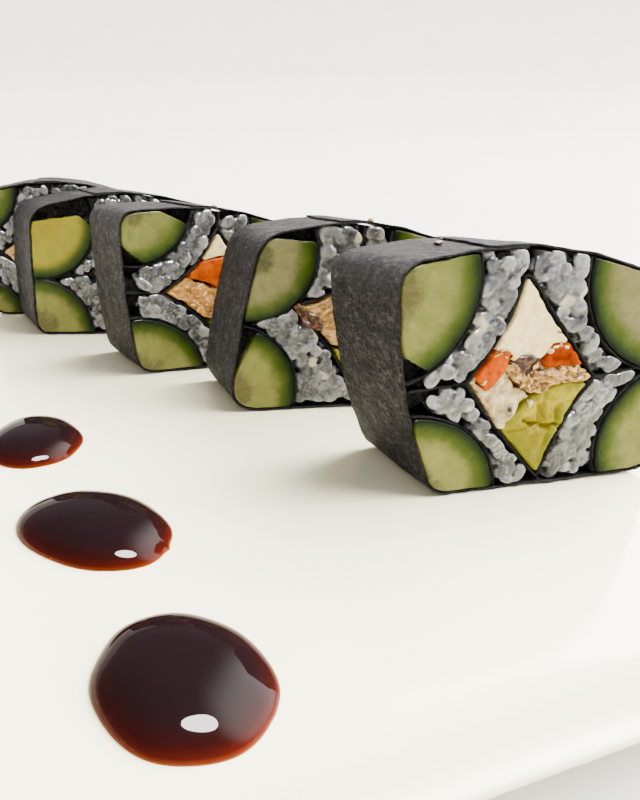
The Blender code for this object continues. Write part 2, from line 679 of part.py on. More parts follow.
def make_plate():
    """The platter, drawn as rounded rectangles from the hollow under its foot, over the rim, to the well."""
    rim_top = PLATE_WELL + PLATE_RIM_HEIGHT
    slope = PLATE_RIM_WIDTH - PLATE_LIP
    profile = (
        (FOOT_INSET + FOOT_WIDTH, FOOT_HEIGHT),
        (FOOT_INSET + FOOT_WIDTH - 0.6, 0.0),
        (FOOT_INSET, 0.0),
        (FOOT_INSET - 1.4, PLATE_WELL - PLATE_WALL),
        (PLATE_RIM_WIDTH + 3.0, PLATE_WELL - PLATE_WALL + 0.6),
        (PLATE_LIP + 1.0, rim_top - PLATE_WALL),
        (0.4, rim_top - 1.8),
        (0.0, rim_top - 0.9),
        (0.5, rim_top - 0.2),
        (1.4, rim_top),
        (PLATE_LIP, rim_top - 0.3),
        (PLATE_LIP + slope * 0.30, PLATE_WELL + PLATE_RIM_HEIGHT * 0.62),
        (PLATE_LIP + slope * 0.62, PLATE_WELL + PLATE_RIM_HEIGHT * 0.25),
        (PLATE_LIP + slope * 0.86, PLATE_WELL + PLATE_RIM_HEIGHT * 0.05),
        (PLATE_RIM_WIDTH, PLATE_WELL),
    )
    grid = bmesh.new()
    rings = [plate_ring(grid, indent, height) for indent, height in profile]
    grid.faces.new(list(reversed(rings[0])))
    for lower, upper in zip(rings, rings[1:]):
        for i in range(len(lower)):
            j = (i + 1) % len(lower)
            grid.faces.new((lower[i], lower[j], upper[j], upper[i]))
    grid.faces.new(rings[-1])
    mesh = bpy.data.meshes.new("plate")
    grid.to_mesh(mesh)
    grid.free()
    return add_object("plate", mesh, "porcelain")


def make_drop(number, item):
    """A thick drop of soy glaze that spread a little and kept a steep rounded edge."""
    grid = bmesh.new()
    rings = []
    for share in DROP_RINGS:
        height = item["height"] * (1.0 - share ** DROP_FLATNESS) ** DROP_FULLNESS
        ring = []
        for sector in range(DROP_SECTORS):
            angle = 2 * math.pi * sector / DROP_SECTORS
            wander = 1.0 + item["wander"] * math.sin(2 * angle + item["phase"])
            wander += 0.5 * item["wander"] * math.sin(3 * angle + 2 * item["phase"])
            x = item["width"] / 2 * share * wander * math.cos(angle)
            y = item["length"] / 2 * share * wander * math.sin(angle)
            ring.append(grid.verts.new((x * MM, y * MM, height * MM)))
        rings.append(ring)
    top = grid.verts.new((0.0, 0.0, item["height"] * MM))
    grid.faces.new(list(reversed(rings[0])))
    for lower, upper in zip(rings, rings[1:]):
        for i in range(DROP_SECTORS):
            j = (i + 1) % DROP_SECTORS
            grid.faces.new((lower[i], lower[j], upper[j], upper[i]))
    for i in range(DROP_SECTORS):
        grid.faces.new((rings[-1][i], rings[-1][(i + 1) % DROP_SECTORS], top))
    mesh = bpy.data.meshes.new("sauce")
    grid.to_mesh(mesh)
    grid.free()
    drop = add_object(f"sauce_{number}", mesh, "soy_glaze", smooth_angle=80.0)
    drop.location = (item["place"][0] * MM, item["place"][1] * MM, (PLATE_WELL + GAP) * MM)
    drop.rotation_euler = (0.0, 0.0, math.radians(DROP_TURN))
    return drop


def main():
    for old in list(bpy.data.objects):
        bpy.data.objects.remove(old, do_unlink=True)
    make_plate()
    for item in SLICES:
        make_slice(item)
    for number, item in enumerate(DROPS, start=1):
        make_drop(number, item)


main()
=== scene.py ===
"""Looks of a row of square maki slices on a platter, with drops of soy glaze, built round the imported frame.

Each slice has its own flat system, in millimetres: x runs to the right across the cut face, z up, and depth
away from the face to the back one. placed() turns such points into metres in the row frame.
"""

import itertools
import math

import bmesh
import bpy
import numpy as np
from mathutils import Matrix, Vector, geometry
from mathutils.kdtree import KDTree


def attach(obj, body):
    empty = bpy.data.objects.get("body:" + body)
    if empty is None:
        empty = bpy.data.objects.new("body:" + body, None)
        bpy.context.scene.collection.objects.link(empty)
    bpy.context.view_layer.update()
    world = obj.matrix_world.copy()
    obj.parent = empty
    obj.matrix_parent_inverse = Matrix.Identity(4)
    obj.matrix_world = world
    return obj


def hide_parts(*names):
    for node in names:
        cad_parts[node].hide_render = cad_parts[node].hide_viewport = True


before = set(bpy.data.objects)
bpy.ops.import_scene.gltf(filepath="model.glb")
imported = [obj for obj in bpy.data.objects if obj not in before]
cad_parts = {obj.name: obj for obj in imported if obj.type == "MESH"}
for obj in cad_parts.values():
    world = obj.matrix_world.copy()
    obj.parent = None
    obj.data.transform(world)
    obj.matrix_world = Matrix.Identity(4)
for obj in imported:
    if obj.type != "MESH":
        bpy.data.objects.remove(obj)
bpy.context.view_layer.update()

MM = 0.001

# The slices: where the lower left corner of each face stands, which way the face looks, how far the cut
# is off square, how much lower the back is, where the wrapper's loose end lies and how far that runs off
# towards the back, the four seams where the quarters fold together (top, left, bottom, right), and the
# circle of each cucumber (upper left, lower left, lower right, upper right).
THICK = 25.4
STAND = 7.3
SLICES = {
    "roll_1": {
        "place": (19.6, -86.7), "turn": -7.0, "bias": 10.0, "settle": 0.046, "overlap": 6.5, "drift": 5.9,
        "seams": ((15.8, 51.0), (-8.5, 23.4), (24.8, 0.0), (52.0, 25.5)),
        "circles": ((-14.0, 44.0, 19.4), (-5.0, -1.0, 18.6), (55.5, 8.0, 18.0), (52.0, 47.0, 23.2)),
    },
    "roll_2": {
        "place": (-8.6, -30.4), "turn": -12.5, "bias": 12.0, "settle": 0.036, "overlap": 30.0, "drift": 1.0,
        "seams": ((36.4, 48.8), (5.2, 22.4), (36.6, 0.0), (58.5, 22.5)),
        "circles": ((8.0, 41.0, 16.4), (2.0, 6.0, 17.2), (58.0, 1.0, 16.0), (62.0, 44.0, 18.2)),
    },
    "roll_3": {
        "place": (-23.2, 5.9), "turn": -3.5, "bias": 15.0, "settle": 0.020, "overlap": 18.0, "drift": -1.5,
        "seams": ((25.0, 48.0), (-3.4, 25.2), (27.0, 0.0), (52.5, 22.5)),
        "circles": ((0.0, 50.0, 16.7), (0.0, -2.0, 18.8), (54.5, 0.0, 17.6), (52.0, 43.0, 17.4)),
    },
    "roll_4": {
        "place": (-51.4, 60.0), "turn": -18.0, "bias": 28.0, "settle": 0.020, "overlap": 25.0, "drift": 2.0,
        "seams": ((37.8, 49.3), (0.9, 20.2), (38.0, 0.0), (66.0, 22.0)),
        "circles": ((4.0, 40.0, 19.8), (0.8, 1.2, 19.0), (64.5, 1.0, 17.2), (68.0, 43.5, 18.6)),
    },
    "roll_5": {
        "place": (-65.5, 93.5), "turn": -16.0, "bias": 10.0, "settle": 0.015, "overlap": 21.0, "drift": 0.5,
        "seams": ((26.0, 50.4), (0.2, 23.6), (29.0, 0.0), (58.0, 23.0)),
        "circles": ((-3.0, 48.0, 16.3), (-4.0, -2.0, 15.8), (58.5, 0.0, 17.4), (59.0, 46.0, 18.0)),
    },
}

# Folded nori: how far it fills a seam's hollow along the wrapper, and how far in from the cut face it lies at
# a seam, round a cucumber, and in the dark layer that closes the gaps between the fillings, a backing that
# stands in for the shade deep in those gaps.
FOLD_REACH = 5.0
FOLD_DEPTH = 1.7
HOLLOW_DEPTH = 2.0
SHADE_BACKING_DEPTH = 4.0

# The wrapper's loose end stands this high over the layer below and settles over this length.
FLAP_STEP = 0.6
FLAP_RUN = 26.0
# The sheets: the wrapper, and the softer ones inside, which stand in from the cut face.
NORI_THICK = 0.4
INNER_NORI_THICK = 0.35
INNER_NORI_INSET = 0.1


# ---------------------------------------------------------------- points and outlines


def placed(item, points):
    """Points of a slice's own system, in millimetres, as metres in the row frame."""
    x, depth, z = np.asarray(points, float).T
    turn = math.radians(item["turn"])
    height = z * (1.0 - item["settle"] * depth / THICK)
    x = x - depth * math.tan(math.radians(item["bias"]))
    across = item["place"][0] + math.cos(turn) * x - math.sin(turn) * depth
    along = item["place"][1] + math.sin(turn) * x + math.cos(turn) * depth
    return np.stack((across, along, height + STAND), axis=1) * MM


def unplaced(item, points):
    """The other way: metres in the row frame as millimetres in the slice's own system."""
    across, along, height = np.asarray(points, float).T / MM
    turn = math.radians(item["turn"])
    across = across - item["place"][0]
    along = along - item["place"][1]
    x = math.cos(turn) * across + math.sin(turn) * along
    depth = -math.sin(turn) * across + math.cos(turn) * along
    z = (height - STAND) / (1.0 - item["settle"] * depth / THICK)
    return np.stack((x + depth * math.tan(math.radians(item["bias"])), depth, z), axis=1)


def joined_mesh(name):
    """The corners and triangles of a copy of a CAD node, with its doubles merged."""
    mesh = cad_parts[name].data
    grid = bmesh.new()
    grid.from_mesh(mesh)
    bmesh.ops.remove_doubles(grid, verts=grid.verts, dist=2e-6)
    corners = np.array([tuple(v.co) for v in grid.verts])
    faces = [tuple(v.index for v in face.verts) for face in grid.faces]
    grid.free()
    return corners, faces


def face_loops(item, name):
    """The outlines of a CAD node's front face in the slice's own x and z, the longest first."""
    corners, faces = joined_mesh(name)
    local = unplaced(item, corners)
    front = local[:, 1] < local[:, 1].min() + 0.05
    # A dictionary keeps the edges in order, so an outline starts at the same corner in each run.
    edges = {}
    for face in faces:
        if all(front[i] for i in face):
            for a, b in zip(face, face[1:] + face[:1]):
                edges[(a, b)] = True
    rim = {a: b for a, b in edges if (b, a) not in edges}
    loops = []
    while rim:
        start, here = rim.popitem()
        loop = [start]
        while here != start:
            loop.append(here)
            here = rim.pop(here)
        loops.append(local[loop][:, [0, 2]])
    return sorted(loops, key=len_of, reverse=True)


def len_of(loop):
    """The length of an outline, with the step that closes it."""
    return np.linalg.norm(loop - np.roll(loop, -1, axis=0), axis=1).sum()


def evenly(line, spacing, closed):
    """A line or an outline with its points evenly spaced."""
    line = np.asarray(line, float)
    if closed:
        line = np.vstack((line, line[:1]))
    steps = np.linalg.norm(np.diff(line, axis=0), axis=1)
    along = np.concatenate(([0.0], np.cumsum(steps)))
    count = max(int(round(along[-1] / spacing)), 4)
    at = np.linspace(0.0, along[-1], count + 1)
    if closed:
        at = at[:-1]
    return np.stack([np.interp(at, along, line[:, k]) for k in range(line.shape[1])], axis=1)


def softened(loop, rounds):
    """An outline with its corners worn round."""
    for _ in range(rounds):
        loop = 0.25 * np.roll(loop, 1, axis=0) + 0.5 * loop + 0.25 * np.roll(loop, -1, axis=0)
    return loop


def outward(line, closed):
    """Unit normals that point out of an anticlockwise outline, or to the right of an open line."""
    if closed:
        run = np.roll(line, -1, axis=0) - np.roll(line, 1, axis=0)
    else:
        run = np.gradient(line, axis=0)
    run /= np.maximum(np.linalg.norm(run, axis=1), 1e-9)[:, None]
    return np.stack((run[:, 1], -run[:, 0]), axis=1)


def inside(points, loop):
    """Which points lie inside an outline."""
    x, z = points[:, 0][:, None], points[:, 1][:, None]
    ax, az = loop[:, 0][None], loop[:, 1][None]
    bx, bz = np.roll(ax, -1), np.roll(az, -1)
    spans = (az > z) != (bz > z)
    rise = np.where(np.abs(bz - az) < 1e-9, 1e-9, bz - az)
    return (spans & (x < ax + (z - az) * (bx - ax) / rise)).sum(axis=1) % 2 == 1


def nearest(points, line, closed=True):
    """How far each point is from a line, and the line's nearest point."""
    a = line if closed else line[:-1]
    b = np.roll(line, -1, axis=0) if closed else line[1:]
    run = b - a
    best = np.full(len(points), 1e9)
    spot = np.zeros((len(points), 2))
    for start, step in zip(a, run):
        share = ((points - start) @ step) / max(step @ step, 1e-12)
        near = start + np.clip(share, 0.0, 1.0)[:, None] * step
        gap = np.linalg.norm(points - near, axis=1)
        closer = gap < best
        best = np.where(closer, gap, best)
        spot[closer] = near[closer]
    return best, spot


def cut_off(loop, start, end):
    """The part of an outline on the left of a straight cut, and the part on its right."""
    start, end = np.array(start, float), np.array(end, float)
    side = (end[0] - start[0]) * (loop[:, 1] - start[1]) - (end[1] - start[1]) * (loop[:, 0] - start[0])
    left, right = [], []
    for i in range(len(loop)):
        j = (i + 1) % len(loop)
        (left if side[i] >= 0 else right).append(loop[i])
        if side[i] * side[j] < 0:
            place = loop[i] + (loop[j] - loop[i]) * side[i] / (side[i] - side[j])
            left.append(place)
            right.append(place)
    return np.array(left), np.array(right)


def drawn_in(loop, gap):
    """An outline moved inwards, softened so that it doesn't fold over itself."""
    loop = evenly(loop, 0.5, True)
    moved = loop - outward(loop, True) * gap
    reach, _ = nearest(moved, loop)
    return moved[(reach > gap * 0.8) & inside(moved, loop)]


# ---------------------------------------------------------------- noise


# Moves every point to the positive side of the noise grid.
GRID_SHIFT = 311.7


def lattice(boxes, seed):
    """A fixed random value from -1 to 1 for each box of a grid. The large numbers only mix the bits."""
    mixed = boxes[..., 0] * 73856093 ^ boxes[..., 1] * 19349663 ^ boxes[..., 2] * 83492791 ^ (seed * 2654435)
    mixed = (mixed ^ (mixed >> 13)) * 1274126177 & 0xFFFFFFFF
    mixed = (mixed ^ (mixed >> 16)) * 668265263 & 0xFFFFFFFF
    return (mixed >> 7 & 0xFFFF) / 32767.5 - 1.0


def lumps(points, size, seed):
    """Smooth noise from -1 to 1, with lumps of about the size given: one number, or one for each axis."""
    points = np.asarray(points, float) / np.asarray(size, float)
    if points.shape[1] == 2:
        points = np.column_stack((points, np.zeros(len(points))))
    points = points + GRID_SHIFT
    boxes = np.floor(points).astype(np.int64)
    part = points - boxes
    part = part * part * (3.0 - 2.0 * part)
    total = np.zeros(len(points))
    for corner in itertools.product((0, 1), repeat=3):
        corner = np.array(corner)
        weight = np.prod(np.where(corner == 1, part, 1.0 - part), axis=1)
        total += weight * lattice(boxes + corner, seed)
    return total


def worn(points, size, seed, layers=3):
    """Lumps with finer lumps on them."""
    total = np.zeros(len(points))
    for layer in range(layers):
        total += lumps(points, np.asarray(size, float) / 2.0 ** layer, seed + layer) / 2.0 ** layer
    return total


# ---------------------------------------------------------------- meshes


def store_values(mesh, layers):
    """Keeps named numbers or vectors at a mesh's corners."""
    for key, values in layers.items():
        values = np.asarray(values, np.float32)
        kind = "FLOAT" if values.ndim == 1 else "FLOAT_VECTOR"
        store = mesh.attributes.new(key, kind, "POINT")
        store.data.foreach_set("value" if values.ndim == 1 else "vector", values.ravel())


def make_piece(name, corners, faces, material, layers=None, smooth=True):
    """A finished mesh in the row frame, with values kept at its corners."""
    mesh = bpy.data.meshes.new(name)
    mesh.from_pydata(np.asarray(corners).tolist(), [], faces)
    mesh.update()
    store_values(mesh, layers or {})
    mesh.materials.append(material)
    if smooth:
        mesh.shade_smooth()
    piece = bpy.data.objects.new(name, mesh)
    bpy.context.scene.collection.objects.link(piece)
    return piece


def finish_piece(piece, nodes=()):
    """Ties a piece to the frame."""
    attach(piece, "root")
    if nodes:
        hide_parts(*nodes)


def face_values(corners, rim=0.0):
    """What the fillings' materials read: each corner's place, how far in from the rim it is, and its tone."""
    count = len(corners)
    return {"flat": corners, "rim": np.zeros(count) + rim, "tone": np.full(count, 0.5)}


class Heap:
    """Meshes gathered into one piece."""

    def __init__(self):
        self.corners, self.faces, self.layers, self.count = [], [], {}, 0

    def add(self, corners, faces, layers):
        self.corners.append(np.asarray(corners))
        self.faces.extend([tuple(i + self.count for i in face) for face in faces])
        self.count += len(corners)
        for key, values in layers.items():
            self.layers.setdefault(key, []).append(np.asarray(values, float))

    def piece(self, name, material):
        layers = {key: np.concatenate(values) for key, values in self.layers.items()}
        return make_piece(name, np.concatenate(self.corners), self.faces, material, layers)


def oval(middle, half_width, half_height, step):
    """Points round an oval, one every so many degrees."""
    angles = np.radians(np.arange(0.0, 360.0, step))
    x = middle[0] + half_width * np.cos(angles)
    return np.stack((x, middle[1] + half_height * np.sin(angles)), axis=1)


# The points over a cut face, as shares of their spacing: how far in the two rows along the outline lie, how
# far apart the grid's rows are, how far its points stray, and how far it keeps from the outline.
EDGE_ROWS = (0.45, 1.15)
GRID_ROW = 0.87
GRID_STRAY = 0.12
GRID_MARGIN = 1.75


def cap(loop, spacing, seed):
    """Fills an outline with small triangles. Gives its points, the outline first, and the triangles."""
    rng = np.random.default_rng(seed)
    rings = [loop]
    for share in EDGE_ROWS:
        gap = share * spacing
        ring = evenly(loop, spacing, True)
        ring = ring - outward(ring, True) * gap
        reach, _ = nearest(ring, loop)
        rings.append(ring[(reach > gap * 0.8) & inside(ring, loop)])
    low, high = loop.min(axis=0), loop.max(axis=0)
    xs = np.arange(low[0], high[0], spacing)
    zs = np.arange(low[1], high[1], spacing * GRID_ROW)
    grid = np.array([(x + (k % 2) * spacing / 2, z) for k, z in enumerate(zs) for x in xs])
    grid += rng.uniform(-GRID_STRAY, GRID_STRAY, grid.shape) * spacing
    reach, _ = nearest(grid, loop)
    rings.append(grid[inside(grid, loop) & (reach > GRID_MARGIN * spacing)])
    points = np.concatenate(rings)
    edges = [(i, (i + 1) % len(loop)) for i in range(len(loop))]
    verts, _, faces, *_ = geometry.delaunay_2d_cdt([Vector(p) for p in points.tolist()], edges, [], 1, 1e-6)
    return np.array([tuple(v) for v in verts]), [tuple(face) for face in faces]


# The side of a layer: how far in from the worn edges its rows start, how many there are, and their bulges.
SIDE_INSET = 1.2
SIDE_ROWS = 8
SIDE_BULGE = 0.12


def slab(loop, seed, *, spacing, front, back, edge, wander, relief, swell=0.0):
    """A layer that runs through the slice, closed, with worn edges and worked cut faces.

    front and back: how far each end stands in from the slice's own. edge: how far the edges are worn round.
    wander and swell: how far the outline strays, and how far out it is moved. relief: how far each point of
    a face stands out of it. Gives corners in the slice's system, and faces.
    """
    loop = softened(evenly(loop, spacing, True), 2)
    loop = loop + outward(loop, True) * swell
    if wander:
        shift = worn(loop, 2.2, seed) * wander - 0.5 * wander
        loop = loop + outward(loop, True) * shift[:, None]
    flat, faces = cap(loop, spacing, seed)
    count = len(loop)
    reach, _ = nearest(flat, loop)
    short = np.clip(edge - reach, 0.0, edge)
    worn_edge = edge - np.sqrt(np.maximum(edge ** 2 - short ** 2, 0.0))
    ends = []
    for end in (0, 1):
        out = relief(flat, reach, seed + 50 * end)
        out = out * np.clip(reach / (1.5 * spacing), 0.0, 1.0)
        depth = front + worn_edge - out if end == 0 else THICK - back - worn_edge + out
        ends.append(np.stack((flat[:, 0], depth, flat[:, 1]), axis=1))
    rows = [ends[0][:count]]
    for depth in np.linspace(front + SIDE_INSET, THICK - back - SIDE_INSET, SIDE_ROWS):
        bulge = worn(np.column_stack((loop, np.full(count, depth))), 4.0, seed + 7, 2) * SIDE_BULGE
        ring = loop + outward(loop, True) * bulge[:, None]
        rows.append(np.stack((ring[:, 0], np.full(count, depth), ring[:, 1]), axis=1))
    rows.append(ends[1][:count])
    corners = [ends[0], ends[1]] + rows[1:-1]
    starts = [0] + [2 * len(flat) + count * k for k in range(len(rows) - 2)] + [len(flat)]
    made = list(faces)
    made += [tuple(reversed([i + len(flat) for i in face])) for face in faces]
    for near, far in zip(starts, starts[1:]):
        for i in range(count):
            j = (i + 1) % count
            made.append((near + i, far + i, far + j, near + j))
    return np.concatenate(corners), made


# How far along a sheet its torn end pulls it, and the share of its depth that each ragged edge takes.
END_PULL = 20.0
RAGGED_SHARE = 0.08


def ribbon(line, closed, thick, seed, *, spacing, row, ragged, wrinkle, inset=0.0, end_shift=None, rise=None):
    """A sheet of nori that follows a line across the face and runs through the slice.

    spacing and row: how close its corners stand along the line and into the depth. ragged and wrinkle: how
    far its cut edges and its surface stray. inset: how far it stands in from the cut faces. end_shift: how
    far the open end's edge stands back at each depth. rise: how far out each point lies. Gives corners in
    the slice's system, faces, and each corner's place on the sheet.
    """
    line = evenly(line, spacing, closed)
    count = len(line)
    normal = outward(line, closed)
    if closed:
        step = len_of(line) / count
    else:
        step = np.linalg.norm(np.diff(line, axis=0), axis=1).sum() / (count - 1)
    arc = np.arange(count) * step
    depths = np.linspace(0.0, 1.0, max(int(round(THICK / row)), 3))
    corners, sheet = [], []
    for share in depths:
        depth = inset + (THICK - inset - inset) * share
        spots = line
        if end_shift is not None:
            pull = end_shift(depth) * np.clip((arc - arc[-1] + END_PULL) / END_PULL, 0.0, 1.0) ** 2
            spots = np.stack([np.interp(arc - pull, arc, line[:, k]) for k in range(2)], axis=1)
        where = np.column_stack((spots, np.full(count, depth)))
        off = worn(where, (7.0, 7.0, 9.0), seed) * wrinkle
        off = off + lumps(where, (1.6, 1.6, 3.0), seed + 5) * wrinkle * 0.2
        if rise is not None:
            off = off + rise(arc)
        at_end = 1.0 - min(share, 1.0 - share) / RAGGED_SHARE
        jag = 0.0
        if at_end > 0.0:
            sign = 1.0 if share < 0.5 else -1.0
            jag = sign * ragged * (0.6 + worn(where, 2.4, seed + 9)) * at_end
        for side in (1.0, -1.0):
            spot = spots + normal * (off + side * thick / 2)[:, None]
            corners.append(np.stack((spot[:, 0], np.full(count, depth) + jag, spot[:, 1]), axis=1))
            sheet.append(np.column_stack((arc, np.full(count, depth), np.full(count, side))))
    faces = []
    last = count if closed else count - 1
    rings = len(depths)
    for r in range(rings - 1):
        outer, inner = 2 * r * count, (2 * r + 1) * count
        for i in range(last):
            j = (i + 1) % count
            faces.append((outer + i, outer + 2 * count + i, outer + 2 * count + j, outer + j))
            faces.append((inner + j, inner + 2 * count + j, inner + 2 * count + i, inner + i))
        if not closed:
            faces.append((outer, inner, inner + 2 * count, outer + 2 * count))
            e = count - 1
            faces.append((outer + 2 * count + e, inner + 2 * count + e, inner + e, outer + e))
    far = 2 * (rings - 1) * count
    for i in range(last):
        j = (i + 1) % count
        faces.append((i, j, count + j, count + i))
        faces.append((far + j, far + i, far + count + i, far + count + j))
    return np.concatenate(corners), faces, np.concatenate(sheet)


# ---------------------------------------------------------------- materials


def new_material(name, **sockets):
    """A material whose even values are set on the shader's own sockets."""
    material = bpy.data.materials.new(name)
    material.use_nodes = True
    shader = material.node_tree.nodes["Principled BSDF"]
    for key, value in sockets.items():
        shader.inputs[key.replace("_", " ")].default_value = value
    return material, material.node_tree, shader


def add_node(tree, kind, links=(), **settings):
    """A node with its settings. Links name an input, and a value or another node's output."""
    made = tree.nodes.new(kind)
    for key, value in settings.items():
        setattr(made, key, value)
    for key, value in links:
        if isinstance(value, bpy.types.NodeSocket):
            tree.links.new(value, made.inputs[key])
        else:
            made.inputs[key].default_value = value
    return made


def attribute(tree, name, output="Fac"):
    """A value that the mesh keeps at its corners."""
    return add_node(tree, "ShaderNodeAttribute", attribute_name=name).outputs[output]


def scaled(tree, vector, scale, turn=(0.0, 0.0, 0.0)):
    links = (("Vector", vector), ("Scale", scale), ("Rotation", turn))
    return add_node(tree, "ShaderNodeMapping", links).outputs["Vector"]


def clouds(tree, vector, scale, detail=3.0, rough=0.55, warp=0.0):
    """Soft random patches, about 0.5 on the whole."""
    links = {"Vector": vector, "Scale": scale, "Detail": detail, "Roughness": rough, "Distortion": warp}
    return add_node(tree, "ShaderNodeTexNoise", links.items()).outputs["Fac"]


def cells(tree, vector, scale, feature="F1", loose=1.0):
    """How far each point is from the middle of the nearest random cell."""
    links = (("Vector", vector), ("Scale", scale), ("Randomness", loose))
    return add_node(tree, "ShaderNodeTexVoronoi", links, feature=feature).outputs["Distance"]


def graded(tree, value, low, high, out_low=0.0, out_high=1.0):
    """A value carried over from one range to another, and held at its ends."""
    links = {"Value": value, "From Min": low, "From Max": high, "To Min": out_low, "To Max": out_high}
    return add_node(tree, "ShaderNodeMapRange", links.items(), clamp=True).outputs["Result"]


def height_of(tree, vector):
    return add_node(tree, "ShaderNodeSeparateXYZ", (("Vector", vector),)).outputs["Z"]


def maths(tree, operation, a, b):
    return add_node(tree, "ShaderNodeMath", ((0, a), (1, b)), operation=operation).outputs[0]


def times(tree, a, b):
    return maths(tree, "MULTIPLY", a, b)


def plus(tree, a, b):
    return maths(tree, "ADD", a, b)


def minus(tree, a, b):
    return maths(tree, "SUBTRACT", a, b)


def coloured(tree, value, stops):
    """Colours along a value from 0 to 1."""
    made = add_node(tree, "ShaderNodeValToRGB", (("Fac", value),))
    band = made.color_ramp.elements
    while len(band) < len(stops):
        band.new(0.5)
    for element, (place, colour) in zip(band, stops):
        element.position = place
        element.color = (*colour, 1.0)
    return made.outputs["Color"]


def blended(tree, share, first, second, how="MIX"):
    """Two colours mixed, the second by the share given. How may be a kind of mixing, such as MULTIPLY."""
    made = tree.nodes.new("ShaderNodeMix")
    made.data_type = "RGBA"
    made.blend_type = how
    for socket, value in ((made.inputs[0], share), (made.inputs[6], first), (made.inputs[7], second)):
        if isinstance(value, bpy.types.NodeSocket):
            tree.links.new(value, socket)
        else:
            socket.default_value = value if isinstance(value, float) else (*value, 1.0)
    return made.outputs[2]


def bumped(tree, shader, layers):
    """Stacks bump layers: (height, strength, distance in millimetres)."""
    normal = None
    for height, strength, reach in layers:
        links = [("Height", height), ("Strength", strength), ("Distance", reach * MM)]
        if normal is not None:
            links.append(("Normal", normal))
        normal = add_node(tree, "ShaderNodeBump", links).outputs["Normal"]
    tree.links.new(normal, shader.inputs["Normal"])


def place_of(tree):
    """Object coordinates in millimetres."""
    here = add_node(tree, "ShaderNodeTexCoord").outputs["Object"]
    return scaled(tree, here, (1000.0, 1000.0, 1000.0))


def nori_material(name, light=1.0):
    """Toasted seaweed: near black, with pits, flecks from cut to cut, and an olive and purple cast. light
    scales its colours; the inner sheets and folds take it low, a painted shade for the crevices they lie in.
    """
    material, tree, shader = new_material(name, Specular_IOR_Level=0.06)
    sheet = attribute(tree, "sheet", "Vector")
    flecks = clouds(tree, scaled(tree, sheet, (1.25, 0.55, 1.0)), 1.0, 6.0, 0.70, 0.35)
    fine = clouds(tree, scaled(tree, sheet, (3.0, 1.5, 1.0)), 1.6, 4.0, 0.7)
    swells = clouds(tree, scaled(tree, sheet, (0.34, 0.22, 1.0)), 1.0, 3.0, 0.55)
    patches = clouds(tree, scaled(tree, sheet, (0.10, 0.13, 1.0)), 1.0, 3.0, 0.6)
    pits = cells(tree, scaled(tree, sheet, (0.5, 0.9, 1.0)), 0.9)
    mixed = plus(tree, times(tree, flecks, 0.72), times(tree, swells, 0.28))
    tone = coloured(
        tree,
        mixed,
        (
            (0.38, (0.0014 * light, 0.0012 * light, 0.0012 * light)),
            (0.46, (0.0060 * light, 0.0054 * light, 0.0055 * light)),
            (0.53, (0.0160 * light, 0.0145 * light, 0.0146 * light)),
            (0.66, (0.0800 * light, 0.0735 * light, 0.0730 * light)),
        ),
    )
    cast = coloured(
        tree, patches, ((0.36, (0.78, 0.82, 0.80)), (0.52, (1.0, 1.0, 1.06)), (0.66, (1.24, 1.14, 1.26)))
    )
    tone = blended(tree, 1.0, tone, cast, "MULTIPLY")
    dark = graded(tree, pits, 0.05, 0.24, 0.25, 1.0)
    links = (("Red", dark), ("Green", dark), ("Blue", dark))
    grey = add_node(tree, "ShaderNodeCombineColor", links).outputs[0]
    tone = blended(tree, 1.0, tone, grey, "MULTIPLY")
    tree.links.new(tone, shader.inputs["Base Color"])
    tree.links.new(graded(tree, fine, 0.3, 0.7, 0.40, 0.70), shader.inputs["Roughness"])
    hollow = graded(tree, pits, 0.02, 0.30)
    bumped(tree, shader, ((swells, 0.9, 1.8), (flecks, 1.0, 0.75), (hollow, 0.9, 0.45), (fine, 0.8, 0.25)))
    return material


